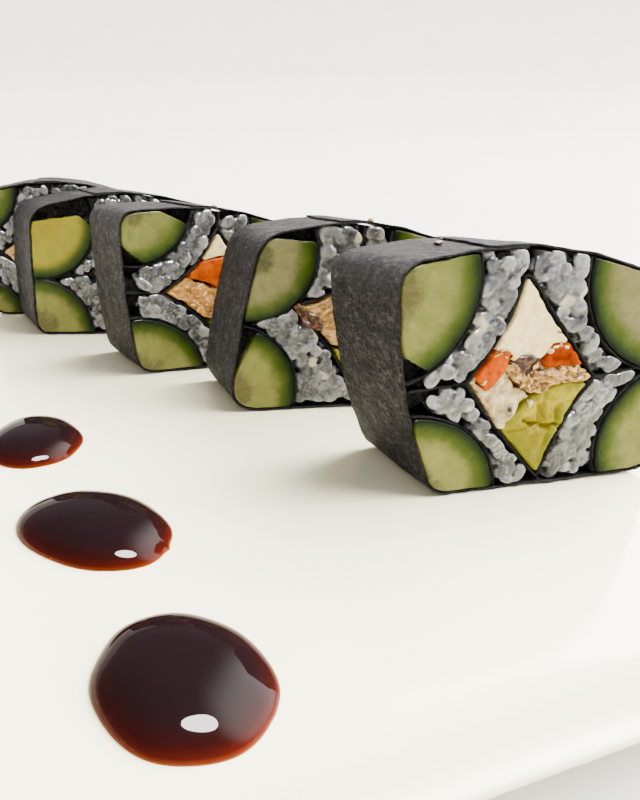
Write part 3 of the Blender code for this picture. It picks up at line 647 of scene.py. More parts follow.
def cucumber_material(name, flesh, heart, seeds_show=0.12, yellow=0.0):
    """Cucumber: dark peel, deep green under it, pale wet flesh with rays, and a duller heart with seeds."""
    material, tree, shader = new_material(
        name, Subsurface_Weight=0.05, Subsurface_Radius=(0.9, 1.0, 0.7), Subsurface_Scale=0.0007,
        Specular_IOR_Level=0.03, Coat_Weight=0.04, Coat_Roughness=0.10,
    )
    peel = attribute(tree, "peel")
    polar = attribute(tree, "polar", "Vector")
    flat = attribute(tree, "flat", "Vector")
    blotch = clouds(tree, scaled(tree, flat, (0.22, 0.22, 0.22)), 1.0, 3.0, 0.6)
    rays = clouds(tree, scaled(tree, polar, (0.26, 0.09, 0.12)), 1.6, 4.0, 0.6, 0.5)
    wander = times(tree, minus(tree, blotch, 0.5), graded(tree, peel, 0.5, 10.0, 1.0, 9.0))
    depth = plus(tree, peel, wander)
    depth = times(tree, depth, 1.0 / 16.0)
    under = tuple(0.55 * f + 0.45 * g for f, g in zip(flesh, (0.038, 0.050, 0.009)))
    shell = coloured(
        tree,
        depth,
        (
            (0.0, (0.0014, 0.0034, 0.0007)),
            (0.03, (0.0034, 0.0080, 0.0010)),
            (0.065, (0.0100, 0.0200, 0.0018)),
            (0.12, (0.0230, 0.0370, 0.0035)),
            (0.20, (0.0400, 0.0560, 0.0066)),
            (0.28, under),
            (0.37, flesh),
            (0.64, flesh),
            (0.76, heart),
            (0.98, tuple(0.92 * h for h in heart)),
        ),
    )
    fibre = clouds(tree, scaled(tree, polar, (2.2, 0.16, 0.2)), 1.4, 3.0, 0.65)
    shade = coloured(
        tree, rays, ((0.32, (0.85, 0.86, 0.78)), (0.5, (1.0, 1.0, 1.0)), (0.68, (1.12, 1.09, 1.16)))
    )
    tone = blended(tree, 1.0, shell, shade, "MULTIPLY")
    seeds = cells(tree, scaled(tree, polar, (0.42, 0.20, 0.15)), 1.0, "F1", 0.8)
    middle = graded(tree, peel, 7.0, 10.0)
    rim = times(tree, graded(tree, seeds, 0.46, 0.38), graded(tree, seeds, 0.26, 0.34))
    seeded = times(tree, times(tree, rim, middle), seeds_show)
    tone = blended(tree, seeded, tone, (0.18, 0.17, 0.075))
    streak = graded(tree, fibre, 0.58, 0.72)
    inner = graded(tree, peel, 2.5, 5.0)
    streaked = times(tree, times(tree, streak, inner), 0.14)
    tone = blended(tree, streaked, tone, (0.26, 0.26, 0.10))
    if yellow:
        tone = blended(tree, times(tree, inner, yellow), tone, (0.24, 0.20, 0.012))
    tree.links.new(tone, shader.inputs["Base Color"])
    wet = clouds(tree, scaled(tree, flat, (0.5, 0.5, 0.5)), 1.2, 3.0, 0.6)
    dry = graded(tree, peel, 1.2, 0.3, 0.0, 0.4)
    dull = plus(tree, graded(tree, wet, 0.35, 0.65, 0.14, 0.36), dry)
    tree.links.new(dull, shader.inputs["Roughness"])
    grain = cells(tree, flat, 2.6, "SMOOTH_F1")
    bumped(tree, shader, ((rays, 0.45, 0.35), (fibre, 0.4, 0.14), (grain, 0.2, 0.06)))
    return material


def rice_material():
    """Cooked rice: cool, glassy grains with cloudy hearts, and a few chalky ones; lighter on the grains'
    crests and darker in the creases between them, a painted light and shade.
    """
    material, tree, shader = new_material(
        "steamed_rice", Subsurface_Weight=0.8, Subsurface_Radius=(1.0, 1.0, 1.0), Subsurface_Scale=0.0012,
        Specular_IOR_Level=0.20, Coat_Weight=0.60, Coat_Roughness=0.10, Coat_IOR=1.4,
    )
    here = place_of(tree)
    tone = attribute(tree, "tone")
    chalk = attribute(tree, "chalk")
    cloudy = clouds(tree, here, 0.55, 3.0, 0.6)
    bulge = attribute(tree, "bulge")
    mixed = plus(tree, times(tree, tone, 0.30), times(tree, cloudy, 0.38))
    # Painted light and shade: the crests of the grains lighter, the creases between them darker.
    mixed = plus(tree, mixed, times(tree, bulge, 0.32))
    glassy = coloured(
        tree,
        mixed,
        (
            (0.20, (0.005, 0.005, 0.0056)),
            (0.38, (0.022, 0.0223, 0.0250)),
            (0.52, (0.060, 0.0610, 0.0660)),
            (0.70, (0.190, 0.189, 0.190)),
        ),
    )
    colour = blended(tree, chalk, glassy, (0.40, 0.37, 0.27))
    tree.links.new(colour, shader.inputs["Base Color"])
    tree.links.new(graded(tree, cloudy, 0.3, 0.7, 0.14, 0.30), shader.inputs["Roughness"])
    facets = cells(tree, here, 0.55)
    dents = cells(tree, here, 1.3)
    fine = clouds(tree, here, 3.0, 3.0, 0.6)
    bumped(tree, shader, ((facets, 0.7, 0.55), (dents, 0.5, 0.25), (fine, 0.3, 0.10)))
    return material


def cream_material(name, dark, main, pale):
    """Cream cheese: ivory, faintly streaked where the knife dragged it."""
    material, tree, shader = new_material(
        name, Subsurface_Weight=0.2, Subsurface_Radius=(1.0, 0.85, 0.6), Subsurface_Scale=0.0012,
        Specular_IOR_Level=0.2,
    )
    flat = attribute(tree, "flat", "Vector")
    turned = scaled(tree, flat, (1.0, 1.0, 1.0), turn=(0.0, math.radians(38.0), 0.0))
    drag = clouds(tree, scaled(tree, turned, (0.22, 0.5, 1.9)), 1.0, 4.0, 0.6)
    patch = clouds(tree, flat, 0.42, 5.0, 0.66)
    base = coloured(tree, patch, ((0.34, dark), (0.48, main), (0.64, pale)))
    lines = coloured(
        tree, drag, ((0.35, (0.90, 0.87, 0.80)), (0.55, (1.0, 1.0, 1.0)), (0.72, (1.06, 1.04, 1.0)))
    )
    tree.links.new(blended(tree, 1.0, base, lines, "MULTIPLY"), shader.inputs["Base Color"])
    tree.links.new(graded(tree, patch, 0.3, 0.7, 0.34, 0.58), shader.inputs["Roughness"])
    crumbly = clouds(tree, flat, 2.4, 4.0, 0.65)
    bumped(tree, shader, ((drag, 0.6, 0.30), (crumbly, 0.45, 0.16)))
    return material


def carrot_material(name, dark, main, bright):
    """Raw carrot: orange with paler fibres, and traces of cream dragged over it."""
    material, tree, shader = new_material(
        name, Subsurface_Weight=0.08, Subsurface_Radius=(1.0, 0.3, 0.05), Subsurface_Scale=0.001,
        Specular_IOR_Level=0.0, Coat_Weight=0.02, Coat_Roughness=0.15,
    )
    flat = attribute(tree, "flat", "Vector")
    blotch = clouds(tree, scaled(tree, flat, (0.5, 0.3, 0.4)), 1.0, 4.0, 0.6)
    fibre = clouds(tree, scaled(tree, flat, (3.0, 0.3, 1.4)), 1.0, 3.0, 0.65)
    base = coloured(tree, blotch, ((0.36, dark), (0.5, main), (0.68, bright)))
    smear = graded(tree, clouds(tree, scaled(tree, flat, (0.9, 0.5, 1.3)), 0.8, 5.0, 0.7, 1.0), 0.60, 0.70)
    base = blended(tree, times(tree, smear, 0.45), base, (0.42, 0.13, 0.012))
    lines = coloured(tree, fibre, ((0.3, (0.85, 0.85, 0.85)), (0.7, (1.12, 1.12, 1.12))))
    tree.links.new(blended(tree, 1.0, base, lines, "MULTIPLY"), shader.inputs["Base Color"])
    tree.links.new(graded(tree, blotch, 0.3, 0.7, 0.22, 0.40), shader.inputs["Roughness"])
    bumped(tree, shader, ((fibre, 0.35, 0.12), (blotch, 0.3, 0.25)))
    return material


def fish_material(name, dark, main, pale):
    """Cooked fish: dry flakes, tan to rosy, with fat lines and browned bits."""
    material, tree, shader = new_material(
        name, Subsurface_Weight=0.12, Subsurface_Radius=(1.0, 0.6, 0.35), Subsurface_Scale=0.001,
        Specular_IOR_Level=0.12,
    )
    flat = attribute(tree, "flat", "Vector")
    tone = attribute(tree, "tone")
    layers = clouds(tree, scaled(tree, flat, (0.8, 0.4, 1.6)), 0.9, 5.0, 0.68, 0.8)
    flecks = clouds(tree, flat, 1.7, 3.0, 0.6)
    mixed = plus(tree, layers, times(tree, minus(tree, tone, 0.5), 0.30))
    base = coloured(tree, mixed, ((0.28, dark), (0.45, main), (0.62, pale), (0.8, (0.74, 0.54, 0.27))))
    base = blended(tree, graded(tree, flecks, 0.66, 0.74), base, (0.12, 0.035, 0.012))
    tree.links.new(base, shader.inputs["Base Color"])
    tree.links.new(graded(tree, layers, 0.3, 0.7, 0.45, 0.62), shader.inputs["Roughness"])
    bumped(tree, shader, ((layers, 0.6, 0.35), (flecks, 0.4, 0.12)))
    return material


def skin_material():
    """Browned fish skin: dark, thin and oily."""
    material, tree, shader = new_material(
        "browned_skin", Specular_IOR_Level=0.1, Coat_Weight=0.12, Coat_Roughness=0.2
    )
    here = place_of(tree)
    blotch = clouds(tree, here, 0.9, 4.0, 0.65)
    base = coloured(
        tree,
        blotch,
        ((0.34, (0.008, 0.003, 0.0015)), (0.5, (0.030, 0.010, 0.004)), (0.70, (0.16, 0.065, 0.022))),
    )
    tree.links.new(base, shader.inputs["Base Color"])
    tree.links.new(graded(tree, blotch, 0.3, 0.7, 0.25, 0.5), shader.inputs["Roughness"])
    bumped(tree, shader, ((blotch, 0.6, 0.3),))
    return material


def avocado_material():
    """Ripe avocado: soft yellow flesh, greener towards its rim, with buttery ridges."""
    material, tree, shader = new_material(
        "ripe_avocado", Subsurface_Weight=0.15, Subsurface_Radius=(1.0, 0.9, 0.4), Subsurface_Scale=0.001,
        Specular_IOR_Level=0.04, Coat_Weight=0.03, Coat_Roughness=0.2,
    )
    flat = attribute(tree, "flat", "Vector")
    rim = attribute(tree, "rim")
    patch = clouds(tree, flat, 0.28, 4.0, 0.6, 0.6)
    base = coloured(
        tree, patch, ((0.3, (0.115, 0.094, 0.001)), (0.5, (0.195, 0.154, 0.001)), (0.7, (0.33, 0.255, 0.008)))
    )
    low = graded(tree, height_of(tree, flat), 17.0, 12.0)
    base = blended(tree, times(tree, low, 0.7), base, (0.112, 0.096, 0.001))
    green = times(tree, graded(tree, rim, 2.0, 0.0), 0.5)
    base = blended(tree, green, base, (0.100, 0.125, 0.004))
    tree.links.new(base, shader.inputs["Base Color"])
    tree.links.new(graded(tree, patch, 0.3, 0.7, 0.30, 0.48), shader.inputs["Roughness"])
    smear = clouds(tree, scaled(tree, flat, (0.5, 0.5, 1.4)), 1.4, 4.0, 0.65)
    bumped(tree, shader, ((smear, 0.5, 0.25), (clouds(tree, flat, 3.0, 3.0, 0.6), 0.3, 0.08)))
    return material


def glaze_material():
    """Thick soy glaze: black in its body and red-brown where it thins out."""
    material, tree, shader = new_material("soy_glaze", Roughness=0.03, Specular_IOR_Level=0.045, IOR=1.42)
    film = attribute(tree, "film")
    colour = coloured(
        tree,
        film,
        (
            (0.0, (0.20, 0.052, 0.006)),
            (0.06, (0.095, 0.0130, 0.0016)),
            (0.18, (0.034, 0.0036, 0.0018)),
            (0.40, (0.0135, 0.0022, 0.0020)),
            (0.70, (0.0062, 0.0026, 0.0030)),
            (1.0, (0.0048, 0.0027, 0.0034)),
        ),
    )
    tree.links.new(colour, shader.inputs["Base Color"])
    return material


def porcelain_material():
    """White glazed porcelain with a barely uneven glaze, and a matt foot."""
    material, tree, shader = new_material("white_porcelain", Specular_IOR_Level=0.5, IOR=1.5)
    here = place_of(tree)
    waves = clouds(tree, here, 0.035, 2.0, 0.5)
    tint = coloured(tree, waves, ((0.35, (0.89, 0.845, 0.600)), (0.65, (0.91, 0.870, 0.640))))
    bare = graded(tree, height_of(tree, here), 0.35, 0.15)
    tint = blended(tree, bare, tint, (0.70, 0.66, 0.58))
    tree.links.new(tint, shader.inputs["Base Color"])
    tree.links.new(graded(tree, bare, 0.0, 1.0, 0.10, 0.75), shader.inputs["Roughness"])
    bumped(tree, shader, ((waves, 0.15, 0.4),))
    return material


def crumb_material(name, colour, rough):
    """A crumb of one colour, mottled darker."""
    material, tree, shader = new_material(name, Roughness=rough, Subsurface_Weight=0.1)
    here = place_of(tree)
    grain = clouds(tree, here, 2.5, 3.0, 0.6)
    dark = tuple(0.6 * c for c in colour)
    tree.links.new(coloured(tree, grain, ((0.3, dark), (0.7, colour))), shader.inputs["Base Color"])
    bumped(tree, shader, ((grain, 0.5, 0.15),))
    return material


# ---------------------------------------------------------------- scattering


def scatter_tree(name):
    """Places one worn pebble shape on every point: the grains and flakes are made of it."""
    tree = bpy.data.node_groups.new(name, "GeometryNodeTree")
    face = tree.interface
    face.new_socket("Geometry", in_out="INPUT", socket_type="NodeSocketGeometry")
    for size in ("Length", "Width", "Thickness", "Bend", "Roughness"):
        face.new_socket(size, in_out="INPUT", socket_type="NodeSocketFloat")
    for count in ("Detail", "Seed"):
        face.new_socket(count, in_out="INPUT", socket_type="NodeSocketInt")
    face.new_socket("Material", in_out="INPUT", socket_type="NodeSocketMaterial")
    face.new_socket("Geometry", in_out="OUTPUT", socket_type="NodeSocketGeometry")
    start = tree.nodes.new("NodeGroupInput").outputs
    pebble = add_node(tree, "GeometryNodeMeshIcoSphere", (("Radius", 0.5), ("Subdivisions", start["Detail"])))
    here = tree.nodes.new("GeometryNodeInputPosition").outputs[0]
    along = add_node(tree, "ShaderNodeSeparateXYZ", (("Vector", here),)).outputs
    curl = times(tree, times(tree, along["Z"], along["Z"]), start["Bend"])
    sides = (("X", start["Width"]), ("Y", start["Thickness"]), ("Z", start["Length"]))
    size = add_node(tree, "ShaderNodeCombineXYZ", sides).outputs[0]
    links = (("Vector", here), ("W", start["Seed"]), ("Scale", 2.2), ("Detail", 1.0))
    rough = add_node(tree, "ShaderNodeTexNoise", links, noise_dimensions="4D").outputs["Fac"]
    swell = times(tree, minus(tree, rough, 0.5), start["Roughness"])
    factor = plus(tree, swell, 1.0)
    shaped = add_node(tree, "ShaderNodeVectorMath", ((0, here), (1, size)), operation="MULTIPLY").outputs[0]
    links = ((0, shaped), ("Scale", factor))
    shaped = add_node(tree, "ShaderNodeVectorMath", links, operation="SCALE").outputs[0]
    curled = add_node(tree, "ShaderNodeCombineXYZ", (("X", curl),)).outputs[0]
    shaped = add_node(tree, "ShaderNodeVectorMath", ((0, shaped), (1, curled)), operation="ADD").outputs[0]
    links = (("Geometry", pebble.outputs["Mesh"]), ("Position", shaped))
    moved = add_node(tree, "GeometryNodeSetPosition", links)
    turn = add_node(tree, "GeometryNodeInputNamedAttribute", (("Name", "turn"),), data_type="FLOAT_VECTOR")
    grow = add_node(tree, "GeometryNodeInputNamedAttribute", (("Name", "size"),), data_type="FLOAT")
    spin = add_node(tree, "FunctionNodeEulerToRotation", ((0, turn.outputs[0]),))
    links = (
        ("Points", start["Geometry"]), ("Instance", moved.outputs["Geometry"]), ("Rotation", spin.outputs[0]),
        ("Scale", grow.outputs[0]),
    )
    put = add_node(tree, "GeometryNodeInstanceOnPoints", links)
    real = add_node(tree, "GeometryNodeRealizeInstances", (("Geometry", put.outputs["Instances"]),))
    links = (("Geometry", real.outputs["Geometry"]), ("Material", start["Material"]))
    done = add_node(tree, "GeometryNodeSetMaterial", links)
    end = tree.nodes.new("NodeGroupOutput")
    tree.links.new(done.outputs["Geometry"], end.inputs["Geometry"])
    return tree


SCATTER = scatter_tree("scattered_pieces")


def scattered(name, spots, turns, sizes, values, material, **inputs):
    """Pebble shapes, one on each spot, in millimetres. Gives corners, faces, and each corner's values."""
    mesh = bpy.data.meshes.new(name)
    mesh.from_pydata(np.asarray(spots).tolist(), [], [])
    store_values(mesh, {"turn": turns, "size": sizes, **values})
    carrier = bpy.data.objects.new(name + "_spots", mesh)
    bpy.context.scene.collection.objects.link(carrier)
    modifier = carrier.modifiers.new("scatter", "NODES")
    modifier.node_group = SCATTER
    wanted = dict(inputs, Material=material)
    for socket in SCATTER.interface.items_tree:
        if socket.in_out == "INPUT" and socket.name in wanted:
            modifier[socket.identifier] = wanted[socket.name]
    bpy.context.view_layer.update()
    seen = carrier.evaluated_get(bpy.context.evaluated_depsgraph_get())
    made = bpy.data.meshes.new_from_object(seen)
    carrier.modifiers.remove(modifier)
    corners = np.empty(len(made.vertices) * 3)
    made.vertices.foreach_get("co", corners)
    faces = [tuple(p.vertices) for p in made.polygons]
    kept = {key: np.empty(len(made.vertices), np.float32) for key in values}
    for key, value in kept.items():
        made.attributes[key].data.foreach_get("value", value)
    bpy.data.objects.remove(carrier)
    bpy.data.meshes.remove(made)
    return corners.reshape(-1, 3), faces, kept


# ---------------------------------------------------------------- the platter

PLATE_LENGTH = 300.0
PLATE_WIDTH = 220.0
PLATE_CORNER = 22.0
PLATE_WELL = 7.0
PLATE_HOLLOW = 2.4
# From the hollow under the foot, out over the rim, to the well: how far in from the edge, and how high.
PLATE_PROFILE = (
    (60.0, 2.4), (46.0, 2.4), (39.6, 2.4), (39.1, 2.1), (38.7, 0.5), (38.3, 0.08), (37.6, 0.0), (36.2, 0.0),
    (34.8, 0.0), (34.2, 0.08), (33.8, 0.5), (33.2, 1.8), (32.4, 2.4), (26.0, 2.7), (18.6, 3.0), (12.0, 4.6),
    (8.0, 6.2), (4.4, 8.4), (2.0, 10.1), (0.6, 11.0), (0.12, 11.6), (0.0, 12.1), (0.15, 12.5), (0.5, 12.8),
    (1.0, 12.96), (1.6, 13.0), (2.4, 12.94), (3.4, 12.70), (4.6, 12.15), (6.4, 11.0), (8.6, 9.5),
    (10.6, 8.35), (12.4, 7.6), (14.0, 7.2), (15.6, 7.05), (18.0, 7.0), (24.0, 7.0), (40.0, 7.0),
    (60.0, 7.0), (80.0, 7.0),
)
# The points of a ring: steps round each corner and along each side.
CORNER_POINTS = 14
EDGE_POINTS = 12


def plate_ring(indent):
    """One rounded rectangle of the platter, anticlockwise from above. Its corners tighten further in."""
    half = np.array((PLATE_WIDTH / 2 - indent, PLATE_LENGTH / 2 - indent))
    radius = max(PLATE_CORNER - indent * 0.75, 5.0)
    corners = []
    for k, (sx, sy) in enumerate(((1, 1), (-1, 1), (-1, -1), (1, -1))):
        for step in range(CORNER_POINTS + 1):
            angle = math.radians(90.0 * (k + step / CORNER_POINTS))
            corners.append((sx * (half[0] - radius) + radius * math.cos(angle),
                            sy * (half[1] - radius) + radius * math.sin(angle)))
    ring = []
    for i, corner in enumerate(corners):
        ring.append(corner)
        if i % (CORNER_POINTS + 1) == CORNER_POINTS:
            follower = corners[(i + 1) % len(corners)]
            for step in range(1, EDGE_POINTS):
                share = step / EDGE_POINTS
                ring.append((corner[0] + (follower[0] - corner[0]) * share,
                             corner[1] + (follower[1] - corner[1]) * share))
    return np.array(ring)


def make_platter():
    """The platter, turned up from its profile."""
    rings = []
    for indent, height in PLATE_PROFILE:
        ring = plate_ring(indent)
        rings.append(np.column_stack((ring, np.full(len(ring), height))))
    count = len(rings[0])
    faces = []
    for r in range(len(rings) - 1):
        for i in range(count):
            j = (i + 1) % count
            faces.append((r * count + i, r * count + j, (r + 1) * count + j, (r + 1) * count + i))
    corners = np.concatenate(rings + [np.array([(0.0, 0.0, PLATE_HOLLOW), (0.0, 0.0, PLATE_WELL)])])
    low, high, last = len(corners) - 2, len(corners) - 1, (len(rings) - 1) * count
    for i in range(count):
        j = (i + 1) % count
        faces.append((low, j, i))
        faces.append((last + i, last + j, high))
    piece = make_piece("platter", corners * MM, faces, porcelain_material())
    finish_piece(piece, ["plate"])


# ---------------------------------------------------------------- the drops of glaze

# The drops, from the near one: where each lies, its size, how its outline wanders, how long a tail it has,
# and how far it leans.
DROPS = (
    {
        "place": (-40.2, -118.0), "width": 26.2, "length": 27.0, "height": 4.3,
        "wander": 0.025, "phase": 0.6, "tail": 0.0, "lean": 0.22,
    },
    {
        "place": (-47.2, -75.1), "width": 30.0, "length": 25.6, "height": 4.2,
        "wander": 0.035, "phase": 2.1, "tail": 0.5, "lean": 0.22,
    },
    {
        "place": (-56.3, -32.0), "width": 23.6, "length": 26.0, "height": 4.0,
        "wander": 0.03, "phase": 4.0, "tail": 0.0, "lean": 0.12,
    },
)
DROP_TURN = -19.7
DROP_SECTORS = 120
DROP_RINGS = 40
# How the rings crowd towards the edge, and the two powers that shape the dome from its edge to its top.
DROP_CROWDING = 1.35
DROP_DOME = (2.6, 0.62)
# The tail's direction in degrees, and its width in radians.
TAIL_ANGLE = -14.0
TAIL_WIDTH = 0.07
# From this height up the glaze is at its darkest. The drops clear the platter by a hair.
FULL_FILM = 4.3
DROP_LIFT = 0.03


def make_drops(material):
    """Low domes of glaze, with thin edges that lie on the platter."""
    turn = math.radians(DROP_TURN)
    for number, item in enumerate(DROPS, start=1):
        angles = np.arange(DROP_SECTORS) * 2 * math.pi / DROP_SECTORS
        wander = 1.0 + item["wander"] * np.sin(2 * angles + item["phase"])
        wander += 0.5 * item["wander"] * np.sin(3 * angles + 2 * item["phase"])
        wander += 0.006 * np.sin(7 * angles + 3 * item["phase"])
        off_tail = (angles - math.radians(TAIL_ANGLE) + math.pi) % (2 * math.pi) - math.pi
        tail = item["tail"] * np.exp(-(off_tail / TAIL_WIDTH) ** 2)
        shares = 1.0 - (1.0 - np.linspace(1.0, 0.04, DROP_RINGS)) ** DROP_CROWDING
        shares[0] = 1.0
        corners, film = [], []
        for share in shares:
            height = item["height"] * max(1.0 - share ** DROP_DOME[0], 0.0) ** DROP_DOME[1]
            reach = share * wander
            x = item["width"] / 2 * reach * np.cos(angles)
            y = item["length"] / 2 * reach * np.sin(angles)
            spread = 1.0 + tail / (item["width"] / 2) * share ** 12
            corners.append(np.column_stack((x * spread, y * spread, np.full(DROP_SECTORS, height))))
            film.append(np.full(DROP_SECTORS, height / FULL_FILM))
        corners.append(np.array([(0.0, 0.0, item["height"]), (0.0, 0.0, 0.0)]))
        film.append(np.array([item["height"] / FULL_FILM, 0.0]))
        corners = np.concatenate(corners)
        corners[:, 0] += 0.15 * np.sin(corners[:, 1] * 0.5)
        corners[:, 1] -= item["lean"] * corners[:, 0]
        c, s = math.cos(turn), math.sin(turn)
        across = item["place"][0] + c * corners[:, 0] - s * corners[:, 1]
        along = item["place"][1] + s * corners[:, 0] + c * corners[:, 1]
        faces = []
        n = DROP_SECTORS
        for r in range(DROP_RINGS - 1):
            for i in range(n):
                j = (i + 1) % n
                faces.append((r * n + i, r * n + j, (r + 1) * n + j, (r + 1) * n + i))
        top, low, last = DROP_RINGS * n, DROP_RINGS * n + 1, (DROP_RINGS - 1) * n
        for i in range(n):
            j = (i + 1) % n
            faces.append((last + i, last + j, top))
            faces.append((low, j, i))
        whole = np.column_stack((across, along, corners[:, 2] + PLATE_WELL + DROP_LIFT)) * MM
        piece = make_piece(f"glaze_drop_{number}", whole, faces, material, {"film": np.concatenate(film)})
        finish_piece(piece, [f"sauce_{number}"])


# ---------------------------------------------------------------- the wrapper and the inner sheets


def wrapper_line(item, name):
    """The wrapper's outer line without the step of its loose end, anticlockwise from the lower left."""
    loop = face_loops(item, f"{name}_nori")[0]
    half = 0.5 * (loop[:, 1].max() + loop[:, 1].min())
    past = (loop[:, 0] - item["overlap"]) / FLAP_RUN
    covered = (loop[:, 1] > half) & (past >= -1e-3) & (past < 1.0)
    loop[covered, 1] -= FLAP_STEP * (1.0 - past[covered])
    return loop


# How many of the wrapper's points lie again under its loose end, and how low it may sag.
UNDERLAP = 13
LOWEST_NORI = -0.22


def make_wrapper(item, name, loop, material, seed):
    """The nori once round the slice: it starts under its own loose end, which is torn and lies on top."""
    line = evenly(loop, 0.6, True)
    line = softened(line, 2)
    top = line[:, 1] > 0.5 * line[:, 1].max()
    start = np.argmin(np.where(top, np.abs(line[:, 0] - item["overlap"]), 1e9))
    line = np.roll(line, -start, axis=0)
    line = np.vstack((line[-UNDERLAP:], line, line[:1]))
    line = line - outward(line, False) * NORI_THICK * 0.5
    total = len_of(line) - np.linalg.norm(line[0] - line[-1])

    def rise(arc):
        left = (total - arc) / FLAP_RUN
        return np.where(left < 1.0, (FLAP_STEP - 0.05) * (1.0 - left), 0.0)

    def torn(depth):
        ragged = worn(np.array([(depth, 0.0), (depth, 9.0)]), 3.2, seed + 31, 4)[0]
        return item["drift"] * depth / THICK + 0.55 * ragged

    corners, faces, sheet = ribbon(
        line, False, NORI_THICK, seed, spacing=0.62, row=0.62, ragged=0.28, wrinkle=0.16, end_shift=torn,
        rise=rise,
    )
    corners[:, 2] = np.maximum(corners[:, 2], LOWEST_NORI)
    piece = make_piece(f"{name}_wrapper", placed(item, corners), faces, material, {"sheet": sheet})
    finish_piece(piece, [f"{name}_nori"])


# Crumbs on top of the slices: slice, kind, across, depth into the slice, width and thickness.
CRUMBS = (
    ("roll_1", "nori", 4.0, 11.0, 1.9, 1.5), ("roll_1", "nori", 9.5, 18.0, 1.1, 0.9),
    ("roll_2", "yolk", 40.0, 4.0, 1.8, 1.6), ("roll_2", "nori", 33.0, 9.0, 1.5, 1.0),
    ("roll_3", "nori", 30.0, 12.0, 1.6, 1.1),
)


def make_crumbs(materials):
    """Small crumbs that the knife left on the wrappers."""
    for number, (name, kind, x, depth, width, thick) in enumerate(CRUMBS, start=1):
        item = SLICES[name]
        line = evenly(wrapper_line(item, name), 0.6, True)
        line = line[line[:, 1] > 0.5 * line[:, 1].max()]
        spot = line[np.abs(line[:, 0] - x).argmin()]
        ring = oval((0.0, 0.0), 0.5 * width, 0.5 * thick, 30.0)
        corners, faces = slab(
            ring + spot + (0.0, 0.35 * thick), 7000 + number, spacing=0.25, front=depth,
            back=THICK - depth - width, edge=0.4, wander=0.5,
            relief=lambda flat, reach, s: 0.2 * worn(flat, 0.8, s),
        )
        material, slot = materials[kind]
        label = f"{name}_crumb_{number}"
        finish_piece(make_piece(label, placed(item, corners), faces, material, face_values(corners)))


# The front slice's filling stops short of its tip at this height.
FLAT_TOP = 44.9


def diamond_line(item, name):
    """The line of the nori round the filling."""
    if name == "roll_1":
        hole = face_loops(item, "roll_1_inner_nori")[1]
        if signed_area(hole) < 0:
            hole = hole[::-1]
        _, hole = cut_off(hole, (0.0, FLAT_TOP), (50.0, FLAT_TOP))
        return hole + outward(hole, True) * 0.4
    loop = face_loops(item, f"{name}_filling")[0]
    return loop + outward(loop, True) * 0.7


def signed_area(loop):
    """The area inside an outline, below zero where it runs clockwise."""
    follower = np.roll(loop, -1, axis=0)
    return 0.5 * (loop[:, 0] * follower[:, 1] - follower[:, 0] * loop[:, 1]).sum()


def tips_of(diamond):
    """The diamond's top, left, bottom and right tips."""
    x, z = diamond.T
    return [diamond[k] for k in (z.argmax(), x.argmin(), z.argmin(), x.argmax())]


def longest_run(ring, fits):
    """The longest unbroken run of the points of a ring that fit."""
    gap = int(np.argmin(fits))
    pairs = zip(np.roll(ring, -gap, axis=0), np.roll(fits, -gap))
    groups = itertools.groupby(pairs, lambda pair: bool(pair[1]))
    runs = [[spot for spot, _ in run] for good, run in groups if good]
    return np.array(max(runs, key=len, default=[]))


# How far outside a cucumber's own circle its sheet lies.
SHEET_GAP = 0.62


def make_inner_sheets(item, name, wall, diamond, material, seed):
    """Every nori line inside the slice: round the filling, behind each cucumber, and out along the seams."""
    heap = Heap()

    def sheet(line, closed, number):
        corners, faces, spots = ribbon(
            line, closed, INNER_NORI_THICK, seed + number, spacing=0.6, row=1.2, ragged=0.22, wrinkle=0.10,
            inset=INNER_NORI_INSET,
        )
        heap.add(placed(item, corners), faces, {"sheet": spots})

    sheet(diamond, True, 0)
    room = drawn_in(wall, 0.75)
    for k, tip in enumerate(tips_of(diamond)):
        seam = np.array(item["seams"][k])
        out = (seam - tip) / np.linalg.norm(seam - tip)
        reach = nearest(np.array([tip]), wall)[0][0]
        bend = tip + out * reach * 0.5 + np.array((0.25, 0.2))
        sheet(np.array([tip + out * 0.3, bend, tip + out * (reach - 0.8)]), False, 10 + k)
    for k, (cx, cz, radius) in enumerate(item["circles"]):
        ring = oval((cx, cz), radius + SHEET_GAP, radius + SHEET_GAP, 1.5)
        fits = inside(ring, room) & ~inside(ring, diamond) & (nearest(ring, diamond)[0] > 0.45)
        line = longest_run(ring, fits)
        if len(line) > 4:
            sheet(line, False, 20 + k)
    piece = heap.piece(f"{name}_inner_sheets", material)
    nodes = ["roll_1_inner_nori"] if name == "roll_1" else []
    finish_piece(piece, nodes)


def fold_relief(flat, reach, seed):
    """Sharp creases. All reliefs take the points, how far each is from the rim, and a seed."""
    creases = np.abs(worn(flat, (2.2, 1.3), seed))
    return 1.3 * creases - 0.8


